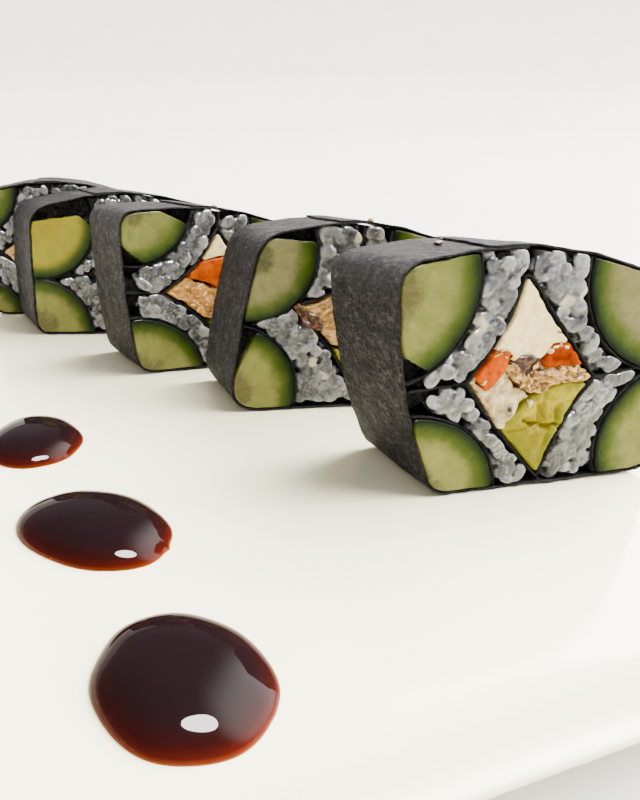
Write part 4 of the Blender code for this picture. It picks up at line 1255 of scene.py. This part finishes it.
def make_folds(item, name, wall, diamond, material, seed):
    """Folded nori in the hollows: at each seam and round each cucumber; and deeper in, behind all that shows,
    a dark layer across the whole slice that stands in for the shade deep in the gaps.
    """
    heap = Heap()
    room = drawn_in(wall, 0.8)
    shapes = []
    for seam, tip in zip(item["seams"], tips_of(diamond)):
        start = nearest(np.array([seam]), room)[1]
        near = room[np.linalg.norm(room - start[0], axis=1) < FOLD_REACH]
        inner = tip + (start[0] - tip) / max(np.linalg.norm(start[0] - tip), 1e-6) * 0.9
        shapes.append((np.vstack((near, inner)), FOLD_DEPTH))
    for k, (cx, cz, radius) in enumerate(item["circles"]):
        cell = room[np.linalg.norm(room - (cx, cz), axis=1) < radius + 0.3]
        ring = oval((cx, cz), radius, radius, 6.0)
        shapes.append((np.vstack((cell, ring[inside(ring, room)])), HOLLOW_DEPTH))
    # A dark layer across the whole slice, behind all that shows: painted shade for the deep gaps.
    shapes.append((room, SHADE_BACKING_DEPTH))
    for k, (spots, depth) in enumerate(shapes):
        middle = spots.mean(axis=0)
        angles = np.arctan2(spots[:, 1] - middle[1], spots[:, 0] - middle[0])
        loop = evenly(spots[np.argsort(angles)], 0.8, True)
        corners, faces = slab(
            loop, seed + k, spacing=0.6, front=depth, back=depth, edge=0.3, wander=0.0, relief=fold_relief
        )
        sheet = np.column_stack((corners[:, 0] + 37.0 * k, corners[:, 2], corners[:, 1]))
        heap.add(placed(item, corners), faces, {"sheet": sheet})
    finish_piece(heap.piece(f"{name}_folds_and_shade_backing", material))


# ---------------------------------------------------------------- cucumbers


def cucumber_relief(centre, radius):
    """Faint rays from the cucumber's own middle, and a sunken heart."""

    def relief(flat, reach, seed):
        rel = flat - np.array(centre)
        out = np.linalg.norm(rel, axis=1)
        angle = np.arctan2(rel[:, 1], rel[:, 0])
        rays = lumps(np.column_stack((angle * 9.0, out * 0.12)), 1.0, seed)
        heart = np.clip((7.0 - out) / 5.0, 0.0, 1.0)
        ridges = 0.10 * rays * np.clip(1.0 - out / radius + 0.2, 0.0, 1.0)
        return ridges + 0.10 * worn(flat, 5.0, seed + 3) - 0.25 * heart

    return relief


def make_cucumbers(item, name, materials, seed):
    """The four quarters of cucumber, each with its own circle for the peel and the rays."""
    for k, (cx, cz, radius) in enumerate(item["circles"]):
        node = f"{name}_cucumber_{k + 1}"
        loop = face_loops(item, node)[0]
        corners, faces = slab(
            loop, seed + k, spacing=0.42, front=0.0, back=0.0, edge=0.18, wander=0.10,
            relief=cucumber_relief((cx, cz), radius), swell=0.22,
        )
        rel = corners[:, [0, 2]] - np.array((cx, cz))
        out = np.linalg.norm(rel, axis=1)
        middle = loop.mean(axis=0) - np.array((cx, cz))
        base = math.atan2(middle[1], middle[0])
        angle = (np.arctan2(rel[:, 1], rel[:, 0]) - base + math.pi) % (2 * math.pi) - math.pi
        polar = np.column_stack((angle * 10.0, out, corners[:, 1] + 40.0 * k))
        layers = {"peel": radius - out, "polar": polar, "flat": corners + (40.0 * k, 0.0, 0.0)}
        piece = make_piece(node + "_flesh", placed(item, corners), faces, materials[k], layers)
        finish_piece(piece, [node])


# ---------------------------------------------------------------- rice

# Grains: how close their middles may come, their size and bend, and how deep each layer of them lies and by
# how much that varies.
GRAIN_GAP = 2.15
GRAIN = {"Length": 6.0, "Width": 3.3, "Thickness": 3.0, "Bend": 0.9, "Roughness": 0.28, "Detail": 2}
GRAIN_LAYERS = ((0.9, 0.35), (2.9, 0.5))
# How far grains may bulge over their band's outline, how close they come to a cucumber's circle, and the
# share of what stands past a cut face that the knife leaves.
BAND_BULGE = 0.95
PEEL_GAP = 0.85
KNIFE_SHARE = 0.10
# Opaque grains: place and size.
CLOUDY_GRAINS = {
    "roll_1": ((6.2, 36.4, 2.1), (6.3, 19.1, 1.3), (24.6, 39.6, 1.6), (27.9, 41.0, 1.6)),
    "roll_2": ((28.4, 35.2, 1.6), (24.2, 13.0, 1.5), (27.5, 9.0, 1.3), (35.0, 45.0, 1.6)),
}


def grain_spots(loop, rng):
    """Packs the middles of grains into a band, near its front and back faces."""
    low, high = loop.min(axis=0), loop.max(axis=0)
    spots = np.empty((0, 3))
    for middle, spread in GRAIN_LAYERS:
        for end in (0, 1):
            tries = rng.uniform(low, high, (2600, 2))
            reach, _ = nearest(tries, loop)
            tries = tries[inside(tries, loop) & (reach > 0.75)]
            deep = rng.uniform(middle - spread, middle + spread, len(tries))
            if end:
                deep = THICK - deep
            for (x, z), depth in zip(tries, deep):
                spot = np.array((x, depth, z))
                if not len(spots) or np.linalg.norm(spots - spot, axis=1).min() > GRAIN_GAP:
                    spots = np.vstack((spots, spot))
    return spots


def stuck_together(corners, faces, voxel):
    """Grains fused where they touch, as sticky rice is.

    Gives the new corners and faces, and which old corner is nearest to each new one.
    """
    mesh = bpy.data.meshes.new("loose_grains")
    mesh.from_pydata(corners.tolist(), [], faces)
    carrier = bpy.data.objects.new("loose_grains", mesh)
    bpy.context.scene.collection.objects.link(carrier)
    modifier = carrier.modifiers.new("fuse", "REMESH")
    modifier.mode = "VOXEL"
    modifier.voxel_size = voxel
    bpy.context.view_layer.update()
    made = bpy.data.meshes.new_from_object(carrier.evaluated_get(bpy.context.evaluated_depsgraph_get()))
    fused = np.empty(len(made.vertices) * 3)
    made.vertices.foreach_get("co", fused)
    fused = fused.reshape(-1, 3)
    shapes = [tuple(p.vertices) for p in made.polygons]
    bpy.data.objects.remove(carrier)
    bpy.data.meshes.remove(made)
    tree = KDTree(len(corners))
    for i, corner in enumerate(corners.tolist()):
        tree.insert(corner, i)
    tree.balance()
    return fused, shapes, np.array([tree.find(corner)[1] for corner in fused.tolist()])


def bulge_of(corners, faces):
    """How far each corner stands out of its neighbours: 0 in a crease, 1 on a crest, evened out. The rice's
    colour reads it as painted shade in the creases and painted light on the crests.
    """
    quads = np.array(faces)
    shared = np.zeros(len(corners))
    middle = np.zeros((len(corners), 3))
    normal = np.zeros((len(corners), 3))
    first, second, third, fourth = (corners[quads[:, k]] for k in range(4))
    across = np.cross(third - first, fourth - second)
    centre = corners[quads].mean(axis=1)
    for k in range(4):
        np.add.at(middle, quads[:, k], centre)
        np.add.at(normal, quads[:, k], across)
        np.add.at(shared, quads[:, k], 1.0)
    middle /= shared[:, None]
    normal /= np.maximum(np.linalg.norm(normal, axis=1), 1e-9)[:, None]
    value = ((corners - middle) * normal).sum(axis=1)
    for _ in range(3):
        mean = value[quads].mean(axis=1)
        value = np.zeros(len(corners))
        for k in range(4):
            np.add.at(value, quads[:, k], mean)
        value /= shared
    return np.clip(0.5 + value / (4.0 * value.std()), 0.0, 1.0)


def make_rice(item, name, wall, diamond, material, seed, voxel):
    """Four bands of cooked grains, pressed flat at the cut faces and against the sheets of nori."""
    rng = np.random.default_rng(seed)
    loops = [face_loops(item, f"{name}_rice_{k + 1}")[0] for k in range(4)]
    room = diamond + outward(diamond, True) * 0.30
    limit = drawn_in(wall, 0.6)
    heap, core = Heap(), Heap()
    for k, loop in enumerate(loops):
        fine = evenly(loop + outward(loop, True) * 0.45, 0.8, True)
        spots = grain_spots(fine, rng)
        count = len(spots)
        # Grains lie mostly along the band, and tip into the slice by any amount.
        middle = loop.mean(axis=0)
        spread = loop - middle
        _, axes = np.linalg.eigh(spread.T @ spread)
        along = math.atan2(axes[1, 1], axes[0, 1])
        lie = along + rng.normal(0.0, 0.75, count)
        tip = rng.uniform(-1.1, 1.1, count)
        turns = np.column_stack((tip, math.pi / 2 - lie, rng.uniform(0.0, math.pi, count)))
        sizes = rng.uniform(0.86, 1.10, count)
        tone = rng.uniform(0.0, 1.0, count)
        press = rng.normal(0.0, 0.20, count)
        corners, faces, kept = scattered(
            "grains", spots, turns, sizes, {"tone": tone, "press": press}, material, Seed=seed % 97, **GRAIN
        )
        flat = corners[:, [0, 2]]
        stray = ~inside(flat, fine)
        _, edge = nearest(flat[stray], fine)
        over = flat[stray] - edge
        reach = np.maximum(np.linalg.norm(over, axis=1), 1e-6)[:, None]
        flat[stray] = edge + over / reach * (BAND_BULGE * np.tanh(reach))
        fouls = inside(flat, room)
        flat[fouls] = nearest(flat[fouls], room)[1]
        strays = ~inside(flat, limit)
        flat[strays] = nearest(flat[strays], limit)[1]
        cx, cz, radius = item["circles"][k]
        rel = flat - (cx, cz)
        out = np.linalg.norm(rel, axis=1)
        flat = (cx, cz) + rel * (np.maximum(out, radius + PEEL_GAP) / out)[:, None]
        corners[:, [0, 2]] = flat
        face = 0.15 + kept["press"] + 0.10 * lumps(corners, 1.3, seed + k)
        deep = corners[:, 1]
        deep = np.where(deep < face, face + (deep - face) * KNIFE_SHARE, deep)
        far = THICK - face
        corners[:, 1] = np.where(deep > far, far + (deep - far) * KNIFE_SHARE, deep)
        corners, faces, source = stuck_together(corners, faces, voxel)
        chalk = np.zeros(len(corners))
        for x, z, size in CLOUDY_GRAINS.get(name, ()):
            apart = np.linalg.norm(corners - (x, 0.9, z), axis=1) + 0.35 * lumps(corners, 1.0, seed + 5)
            chalk = np.maximum(chalk, np.clip((size - apart) / 0.35, 0.0, 1.0))
        # bulge is painted shade in the creases between the grains and painted light on their crests.
        layers = {"tone": kept["tone"][source], "chalk": chalk, "bulge": bulge_of(corners, faces)}
        heap.add(placed(item, corners), faces, layers)
        corners, faces = slab(
            drawn_in(loop, 0.55), seed + 30 + k, spacing=0.7, front=1.35, back=1.35, edge=0.3, wander=0.3,
            relief=lambda flat, reach, s: 0.45 * worn(flat, 1.6, s),
        )
        even = np.ones(len(corners))
        # The packed rice behind the grains takes a low tone and a low bulge: painted shade for the gaps
        # between the grains.
        core.add(placed(item, corners), faces, {"tone": 0.2 * even, "chalk": 0.0 * even, "bulge": 0.3 * even})
    nodes = [f"{name}_rice_{k + 1}" for k in range(4)]
    finish_piece(heap.piece(f"{name}_rice_grains", material), nodes)
    finish_piece(core.piece(f"{name}_rice_packed", material), nodes)


# ---------------------------------------------------------------- fillings


def cream_relief(flat, reach, seed):
    """Dragged along one way by the knife, with a few nicks."""
    turn = math.radians(38.0)
    along = flat[:, 0] * math.cos(turn) + flat[:, 1] * math.sin(turn)
    across = -flat[:, 0] * math.sin(turn) + flat[:, 1] * math.cos(turn)
    drag = worn(np.column_stack((along, across)), (6.0, 0.7), seed)
    nicks = np.clip(lumps(flat, 0.9, seed + 5) - 0.72, 0.0, 1.0)
    return 0.08 * drag + 0.18 * worn(flat, 4.0, seed + 2) - 0.35 * nicks


def torn_cream_relief(flat, reach, seed):
    return 0.62 * worn(flat, 2.2, seed) + 0.22 * worn(flat, 0.8, seed + 4)


def carrot_relief(flat, reach, seed):
    rim = np.clip(1.0 - reach / 1.5, 0.0, 1.0)
    return 0.10 * worn(flat, 2.0, seed) + 0.25 * rim * lumps(flat, 1.2, seed + 1)


def fish_relief(flat, reach, seed):
    flakes = np.abs(worn(flat, (2.6, 1.7), seed))
    return 0.75 * flakes - 0.45 + 0.30 * worn(flat, 0.9, seed + 3)


# The crease that parts the front slice's avocado in two, the fold above it and the one below, with how deep
# each is.
CREASES = (
    ((18.9, 15.3), (20.6, 14.4), (22.4, 14.7), (24.0, 13.7), (26.6, 13.9)),
    ((20.3, 20.4), (21.2, 18.8), (22.6, 17.6), (22.9, 16.0)),
    ((23.9, 13.6), (25.0, 11.6), (24.2, 9.6)),
)


CREASE_DEPTHS = (1.0, 0.45, 0.3)


def swayed(flat, size, by, seed):
    """A face's points, each moved a little, so that a crease drawn through them runs unevenly."""
    return flat + by * np.column_stack((lumps(flat, size, seed + 8), lumps(flat, size, seed + 9)))


def front_avocado_relief(flat, reach, seed):
    """Two lumps of avocado, pressed together along a crease."""
    spots = swayed(flat, 1.6, 0.35, seed)
    lift = avocado_relief(flat, reach, seed)
    for line, deep in zip(CREASES, CREASE_DEPTHS):
        apart, _ = nearest(spots, np.array(line), False)
        groove = deep * np.exp(-((apart / 0.42) ** 2))
        lift = lift - groove + 0.35 * deep * np.exp(-(((apart - 1.3) / 0.8) ** 2))
    return lift


def avocado_relief(flat, reach, seed):
    """Buttery folds with fine lumps."""
    crease = np.abs(lumps(swayed(flat, 2.5, 0.7, seed), 4.6, seed))
    fold = -0.9 * np.clip(0.16 - crease, 0.0, 1.0) / 0.16
    return 0.55 * fold + 0.30 * worn(flat, 2.6, seed + 2) + 0.08 * worn(flat, 0.8, seed + 4)


RELIEFS = {
    "cream": cream_relief, "torn": torn_cream_relief, "carrot": carrot_relief, "fish": fish_relief,
    "avocado": avocado_relief, "front_avocado": front_avocado_relief, "skin": torn_cream_relief,
}
# Each kind: how far it stands in from the face, how worn its edge is, how its outline wanders, and how close
# its corners stand.
KINDS = {
    "cream": (0.05, 0.35, 0.32, 0.30), "torn": (0.10, 0.5, 0.75, 0.26), "carrot": (-0.25, 0.40, 0.30, 0.26),
    "fish": (0.50, 0.5, 0.6, 0.30), "avocado": (0.15, 0.5, 0.25, 0.32),
    "front_avocado": (0.10, 0.5, 0.25, 0.24), "skin": (-0.15, 0.35, 0.7, 0.25),
}
# The back slices' fillings: lines that part the layers, each from left to right across the diamond, and
# the line, from low to high, that has the carrot on one side and more cream on the other.
PARTINGS = {
    "roll_2": {
        "cream": ((5, 36.0), (60, 36.5)), "carrot": ((5, 32.0), (60, 33.0)), "fish": ((24, 18.6), (36, 15.0)),
        "stick": ((37.5, 0), (38.5, 50)), "carrot_left": False,
    },
    "roll_3": {
        "cream": ((5, 31.2), (27, 34.4)), "carrot": ((5, 33.0), (27, 24.0)), "fish": ((5, 16.5), (50, 13.0)),
        "stick": ((26.0, 0), (27.5, 50)), "carrot_left": True,
    },
    "roll_4": {
        "cream": ((5, 33.0), (70, 33.5)), "carrot": ((5, 25.5), (70, 28.0)), "fish": ((15, 20.0), (70, 17.0)),
        "stick": ((38.5, 0), (39.5, 50)), "carrot_left": True,
    },
    "roll_5": {
        "cream": ((0, 35.0), (60, 35.0)), "carrot": ((0, 29.0), (60, 30.0)), "fish": ((0, 19.5), (60, 17.5)),
        "stick": ((27.5, 0), (27.0, 50)), "carrot_left": False,
    },
}
# Strips of browned skin: across the middle of the front slice, and low on the left of the second one's fish.
SKIN_STRIPS = {
    "roll_1": (
        (13.5, 28.6), (14.2, 27.2), (16.6, 26.0), (20.6, 25.6), (21.4, 27.0), (20.6, 28.9), (18.0, 29.2),
        (15.6, 29.0),
    ),
    "roll_2": (
        (18.8, 28.4), (20.4, 25.0), (22.5, 22.6), (25.4, 20.8), (26.4, 22.4), (25.0, 25.6), (22.6, 27.2),
        (20.6, 28.4),
    ),
}


def shared_out(loop, lines):
    """The layers of a back slice's filling, from its top down."""
    cream, rest = cut_off(loop, *lines["cream"])
    middle, rest = cut_off(rest, *lines["carrot"])
    west, east = cut_off(middle, *lines["stick"])
    fish, avocado = cut_off(rest, *lines["fish"])
    carrot, side = (west, east) if lines["carrot_left"] else (east, west)
    return (
        ("cream", "cream", cream), ("carrot", "carrot", carrot), ("cream_side", "torn", side),
        ("fish", "fish", fish), ("avocado", "avocado", avocado),
    )


def add_filling(item, name, loop, kind, material, seed, nodes=(), spacing=None):
    """One layer of a filling, worked as its kind is."""
    set_back, edge, wander, step = KINDS[kind]
    corners, faces = slab(
        loop, seed, spacing=spacing or step, front=set_back, back=set_back, edge=edge, wander=wander,
        relief=RELIEFS[kind], swell=0.35,
    )
    rim, _ = nearest(corners[:, [0, 2]], softened(evenly(loop, 0.6, True), 1))
    piece = make_piece(name, placed(item, corners), faces, material, face_values(corners, rim))
    finish_piece(piece, nodes)


# Bits the knife dragged over the front slice's cut face, and two dark bits low on the right that stand in for
# the shade of a hollow there: kind, place, width, height and lean in degrees.
SPECKS = (
    ("cream", 10.9, 30.1, 2.2, 0.55, 20.0), ("cream", 12.6, 29.6, 1.5, 0.6, -40.0),
    ("cream", 11.6, 30.9, 1.6, 0.5, 8.0), ("cream", 8.6, 24.6, 1.6, 0.7, 60.0),
    ("cream", 23.6, 31.0, 2.6, 0.6, 18.0), ("cream", 22.3, 30.1, 1.3, 0.5, 50.0),
    ("cream", 25.6, 30.6, 1.2, 0.35, -20.0), ("cream", 13.4, 25.6, 1.4, 0.8, 30.0),
    ("cream", 19.3, 19.0, 1.6, 0.7, 70.0), ("leaf", 15.1, 18.2, 1.1, 1.6, 30.0),
    ("leaf", 23.4, 33.9, 1.3, 0.6, -10.0), ("leaf", 12.0, 30.4, 0.5, 0.4, 0.0),
    # The dark bits at 29.6 and 31.1 across are painted shade: they fill a hollow at the filling's right
    # corner.
    ("leaf", 29.6, 24.7, 1.5, 0.8, -25.0), ("leaf", 31.1, 24.0, 0.7, 0.6, 10.0),
    ("leaf", 27.4, 24.0, 0.5, 0.4, 0.0), ("carrot", 9.4, 30.3, 1.3, 0.7, 35.0),
    ("carrot", 13.6, 29.6, 1.0, 0.6, -30.0),
)


def make_speck(item, name, kind, x, z, width, height, lean, seed):
    """A small bit lying on the cut face."""
    ring = oval((0.0, 0.0), 0.5 * width, 0.5 * height, 20.0)
    turn = math.radians(lean)
    ring = ring @ np.array(((math.cos(turn), math.sin(turn)), (-math.sin(turn), math.cos(turn))))
    looks = {"cream": (CREAM, "cream"), "leaf": (OLIVE_BITS_AND_HOLLOW_SHADE, "nori"), "carrot": (RED_CARROT, "carrot")}
    material, slot = looks[kind]
    corners, faces = slab(
        ring + (x, z), seed, spacing=0.16, front=-0.62, back=THICK - 0.7, edge=0.18, wander=0.55,
        relief=lambda flat, reach, s: 0.15 * worn(flat, 0.7, s),
    )
    finish_piece(make_piece(name, placed(item, corners), faces, material, face_values(corners)))


def fish_flakes(item, name, loop, material, seed, count):
    """Loose flakes that stand out of the fish, so many at each cut face."""
    rng = np.random.default_rng(seed)
    low, high = loop.min(axis=0), loop.max(axis=0)
    tries = rng.uniform(low, high, (4000, 2))
    reach, _ = nearest(tries, loop)
    tries = tries[inside(tries, loop) & (reach > 0.5)][: count * 2]
    if len(tries) == 0:
        return
    deep = rng.uniform(-0.05, 0.75, len(tries))
    end = np.arange(len(tries)) % 2 == 1
    deep = np.where(end, THICK - deep, deep)
    spots = np.column_stack((tries[:, 0], deep, tries[:, 1]))
    turns = rng.uniform(0.0, math.pi, (len(tries), 3))
    sizes = 0.40 + 1.25 * rng.uniform(0.0, 1.0, len(tries)) ** 2
    corners, faces, kept = scattered(
        "flakes", spots, turns, sizes, {"tone": rng.uniform(0.0, 1.0, len(tries))}, material,
        Length=2.0, Width=1.0, Thickness=0.5, Bend=0.8, Roughness=1.5, Detail=2, Seed=seed % 89,
    )
    values = {"flat": corners, "tone": kept["tone"]}
    piece = make_piece(name, placed(item, corners), faces, material, values, smooth=False)
    finish_piece(piece)


# ---------------------------------------------------------------- put together

make_platter()
make_drops(glaze_material())
NORI = nori_material("toasted_nori")
# The inner sheets and folds take the nori at about a third of its brightness: painted shade for the crevices
# they lie in.
SHADED_INNER_NORI = nori_material("inner_nori_painted_shade", 0.35)
PALE = cucumber_material("cucumber_pale", (0.138, 0.140, 0.036), (0.084, 0.078, 0.026), 0.18)
GREEN = cucumber_material("cucumber_green", (0.108, 0.114, 0.028), (0.060, 0.056, 0.018))
RIPE = cucumber_material("cucumber_ripe", (0.150, 0.140, 0.016), (0.150, 0.120, 0.010), 0.05, 0.4)
DULL = cucumber_material("cucumber_dull", (0.112, 0.104, 0.041), (0.046, 0.045, 0.017), 0.15)
RICE = rice_material()
CREAM = cream_material("cream_cheese", (0.62, 0.46, 0.18), (0.75, 0.59, 0.265), (0.85, 0.72, 0.40))
TORN_CREAM = cream_material(
    "torn_cream_cheese", (0.21, 0.135, 0.058), (0.37, 0.275, 0.135), (0.68, 0.56, 0.33)
)
CARROT = carrot_material("carrot_core", (0.22, 0.022, 0.0001), (0.32, 0.046, 0.0001), (0.40, 0.078, 0.0001))
RED_CARROT = carrot_material(
    "carrot_rim", (0.09, 0.009, 0.0002), (0.17, 0.022, 0.0002), (0.26, 0.042, 0.0004)
)
FISH = fish_material("rosy_fish", (0.12, 0.050, 0.013), (0.34, 0.178, 0.052), (0.58, 0.38, 0.145))
GOLD_FISH = fish_material("golden_fish", (0.14, 0.040, 0.006), (0.42, 0.19, 0.030), (0.62, 0.36, 0.095))
AVOCADO = avocado_material()
SKIN = skin_material()
# Olive-black bits: real crumbs and flecks, and the dark bits that stand for the shade of a hollow on the
# front face.
OLIVE_BITS_AND_HOLLOW_SHADE = crumb_material("olive_bits_and_hollow_shade", (0.018, 0.014, 0.007), 0.6)
YOLK = crumb_material("yellow_crumb", (0.42, 0.25, 0.02), 0.5)
# Each slice's quarters: upper left, lower left, lower right, upper right.
CUCUMBERS = {
    "roll_1": (GREEN, PALE, GREEN, DULL), "roll_2": (DULL, PALE, PALE, GREEN),
    "roll_3": (GREEN, PALE, GREEN, DULL), "roll_4": (RIPE, PALE, PALE, GREEN),
    "roll_5": (GREEN, PALE, GREEN, DULL),
}

# What every slice has. Each kind of piece starts its random draws at a number of its own, here and below.
for order, (name, item) in enumerate(SLICES.items()):
    seed = 1000 * (order + 1)
    line = wrapper_line(item, name)
    make_wrapper(item, name, line, NORI, seed)
    diamond = diamond_line(item, name)
    make_inner_sheets(item, name, line, diamond, SHADED_INNER_NORI, seed + 100)
    make_folds(item, name, line, diamond, SHADED_INNER_NORI, seed + 150)
    make_cucumbers(item, name, CUCUMBERS[name], seed + 200)
    make_rice(item, name, line, diamond, RICE, seed + 300, 0.30 if name == "roll_1" else 0.36)

# The front slice's filling, which shows in full.
front = SLICES["roll_1"]
for name, kind, material, slot in (
    ("cream_top", "cream", CREAM, "cream"), ("cream_low", "torn", TORN_CREAM, "cream"),
    ("carrot_left", "carrot", CARROT, "carrot"), ("carrot_right", "carrot", RED_CARROT, "carrot"),
    ("fish", "fish", FISH, "fish"), ("avocado", "front_avocado", AVOCADO, "avocado"),
):
    loop = face_loops(front, f"roll_1_{name}")[0]
    if name == "cream_top":
        _, loop = cut_off(loop, (0.0, FLAT_TOP - 0.2), (50.0, FLAT_TOP - 0.2))
    add_filling(
        front, f"roll_1_{name}_worked", loop, kind, material, 5000 + len(name), [f"roll_1_{name}"]
    )
fish_flakes(front, "roll_1_fish_flakes", face_loops(front, "roll_1_fish")[0], FISH, 5100, 170)
for number, (name, strip) in enumerate(SKIN_STRIPS.items()):
    add_filling(SLICES[name], f"{name}_fish_skin", np.array(strip), "skin", SKIN, 5200 + 100 * number)
for number, (kind, x, z, width, height, lean) in enumerate(SPECKS):
    make_speck(front, f"roll_1_speck_{number + 1}", kind, x, z, width, height, lean, 5400 + number)

# The fillings of the slices behind, of which a corner shows.
for name in ("roll_2", "roll_3", "roll_4", "roll_5"):
    item = SLICES[name]
    loop = face_loops(item, f"{name}_filling")[0]
    looks = {
        "cream": (CREAM, "cream"), "torn": (TORN_CREAM, "cream"), "carrot": (CARROT, "carrot"),
        "fish": (GOLD_FISH if name == "roll_3" else FISH, "fish"), "avocado": (AVOCADO, "avocado"),
    }
    for number, (label, kind, part) in enumerate(shared_out(loop, PARTINGS[name])):
        material, slot = looks[kind]
        add_filling(
            item, f"{name}_{label}", drawn_in(part, 0.42), kind, material, 6000 + number + len(name),
            [f"{name}_filling"], 0.4,
        )
        if kind == "fish":
            fish_flakes(item, f"{name}_fish_flakes", part, material, 6100 + number, 60)

make_crumbs({"nori": (OLIVE_BITS_AND_HOLLOW_SHADE, "nori"), "yolk": (YOLK, "cream")})

# ---------------------------------------------------------------- stage, light and camera


def make_stage():
    """A pale floor that curves up into a wall behind."""
    material, tree, shader = new_material("pale_floor", Roughness=0.55)
    mottle = clouds(tree, place_of(tree), 0.02, 3.0, 0.6)
    tint = coloured(tree, mottle, ((0.3, (0.66, 0.64, 0.62)), (0.7, (0.70, 0.68, 0.66))))
    tree.links.new(tint, shader.inputs["Base Color"])
    profile = [(-2.0, -0.0002), (1.1, -0.0002), (1.35, 0.05), (1.5, 0.2), (1.55, 0.5)]
    corners = [(x, y, z) for y, z in profile for x in (-3.0, 3.0)]
    faces = [(2 * i, 2 * i + 1, 2 * i + 3, 2 * i + 2) for i in range(len(profile) - 1)]
    floor = make_piece("studio_floor", np.array(corners), faces, material)


def make_lamp(place, target, size, power, colour):
    """A round lamp that glossy surfaces mirror, and that lights nothing else."""
    lamp = bpy.data.lights.new("lamp", "AREA")
    lamp.shape = "DISK"
    lamp.size = size
    lamp.energy = power
    lamp.color = colour
    light = bpy.data.objects.new("lamp", lamp)
    light.location = place
    light.rotation_euler = (Vector(target) - Vector(place)).to_track_quat("-Z", "Y").to_euler()
    light.visible_diffuse = False
    bpy.context.scene.collection.objects.link(light)


def make_camera():
    """Low in front of the row and to its left, looking down along it."""
    eye = bpy.data.cameras.new("camera")
    eye.lens = 30.6
    eye.sensor_width = 36.0
    eye.shift_x = 0.07
    eye.clip_start = 0.005
    camera = bpy.data.objects.new("camera", eye)
    camera.location = (-0.054, -0.190, 0.07969)
    camera.rotation_euler = (math.radians(90.0 - 22.57), 0.0, math.radians(-19.7))
    bpy.context.scene.collection.objects.link(camera)
    bpy.context.scene.camera = camera


def make_room():
    """Soft light all round, a broad glow from the upper right, and a small lamp that the glaze mirrors."""
    world = bpy.data.worlds.new("soft_room")
    world.use_nodes = True
    tree = world.node_tree
    sky = tree.nodes["Background"]
    way = add_node(tree, "ShaderNodeTexCoord").outputs["Generated"]
    links = ((0, way), (1, (0.77, 0.05, 0.635)))
    key = add_node(tree, "ShaderNodeVectorMath", links, operation="DOT_PRODUCT").outputs["Value"]

    def eased(value, low, high):
        links = (("Value", value), ("From Min", low), ("From Max", high))
        made = add_node(tree, "ShaderNodeMapRange", links, interpolation_type="SMOOTHERSTEP")
        return made.outputs["Result"]

    key = eased(key, 0.64, 1.0)
    low = eased(height_of(tree, way), 0.72, 0.30)
    strength = plus(tree, times(tree, key, 38.0), times(tree, low, 0.45))
    tree.links.new(plus(tree, strength, 0.62), sky.inputs["Strength"])
    sky.inputs["Color"].default_value = (1.0, 0.98, 0.94, 1.0)
    bpy.context.scene.world = world
    make_lamp((-0.01, -0.14, 0.60), (-0.03, -0.08, 0.0), 0.22, 95.0, (1.0, 0.98, 0.95))


make_stage()
make_room()
make_camera()
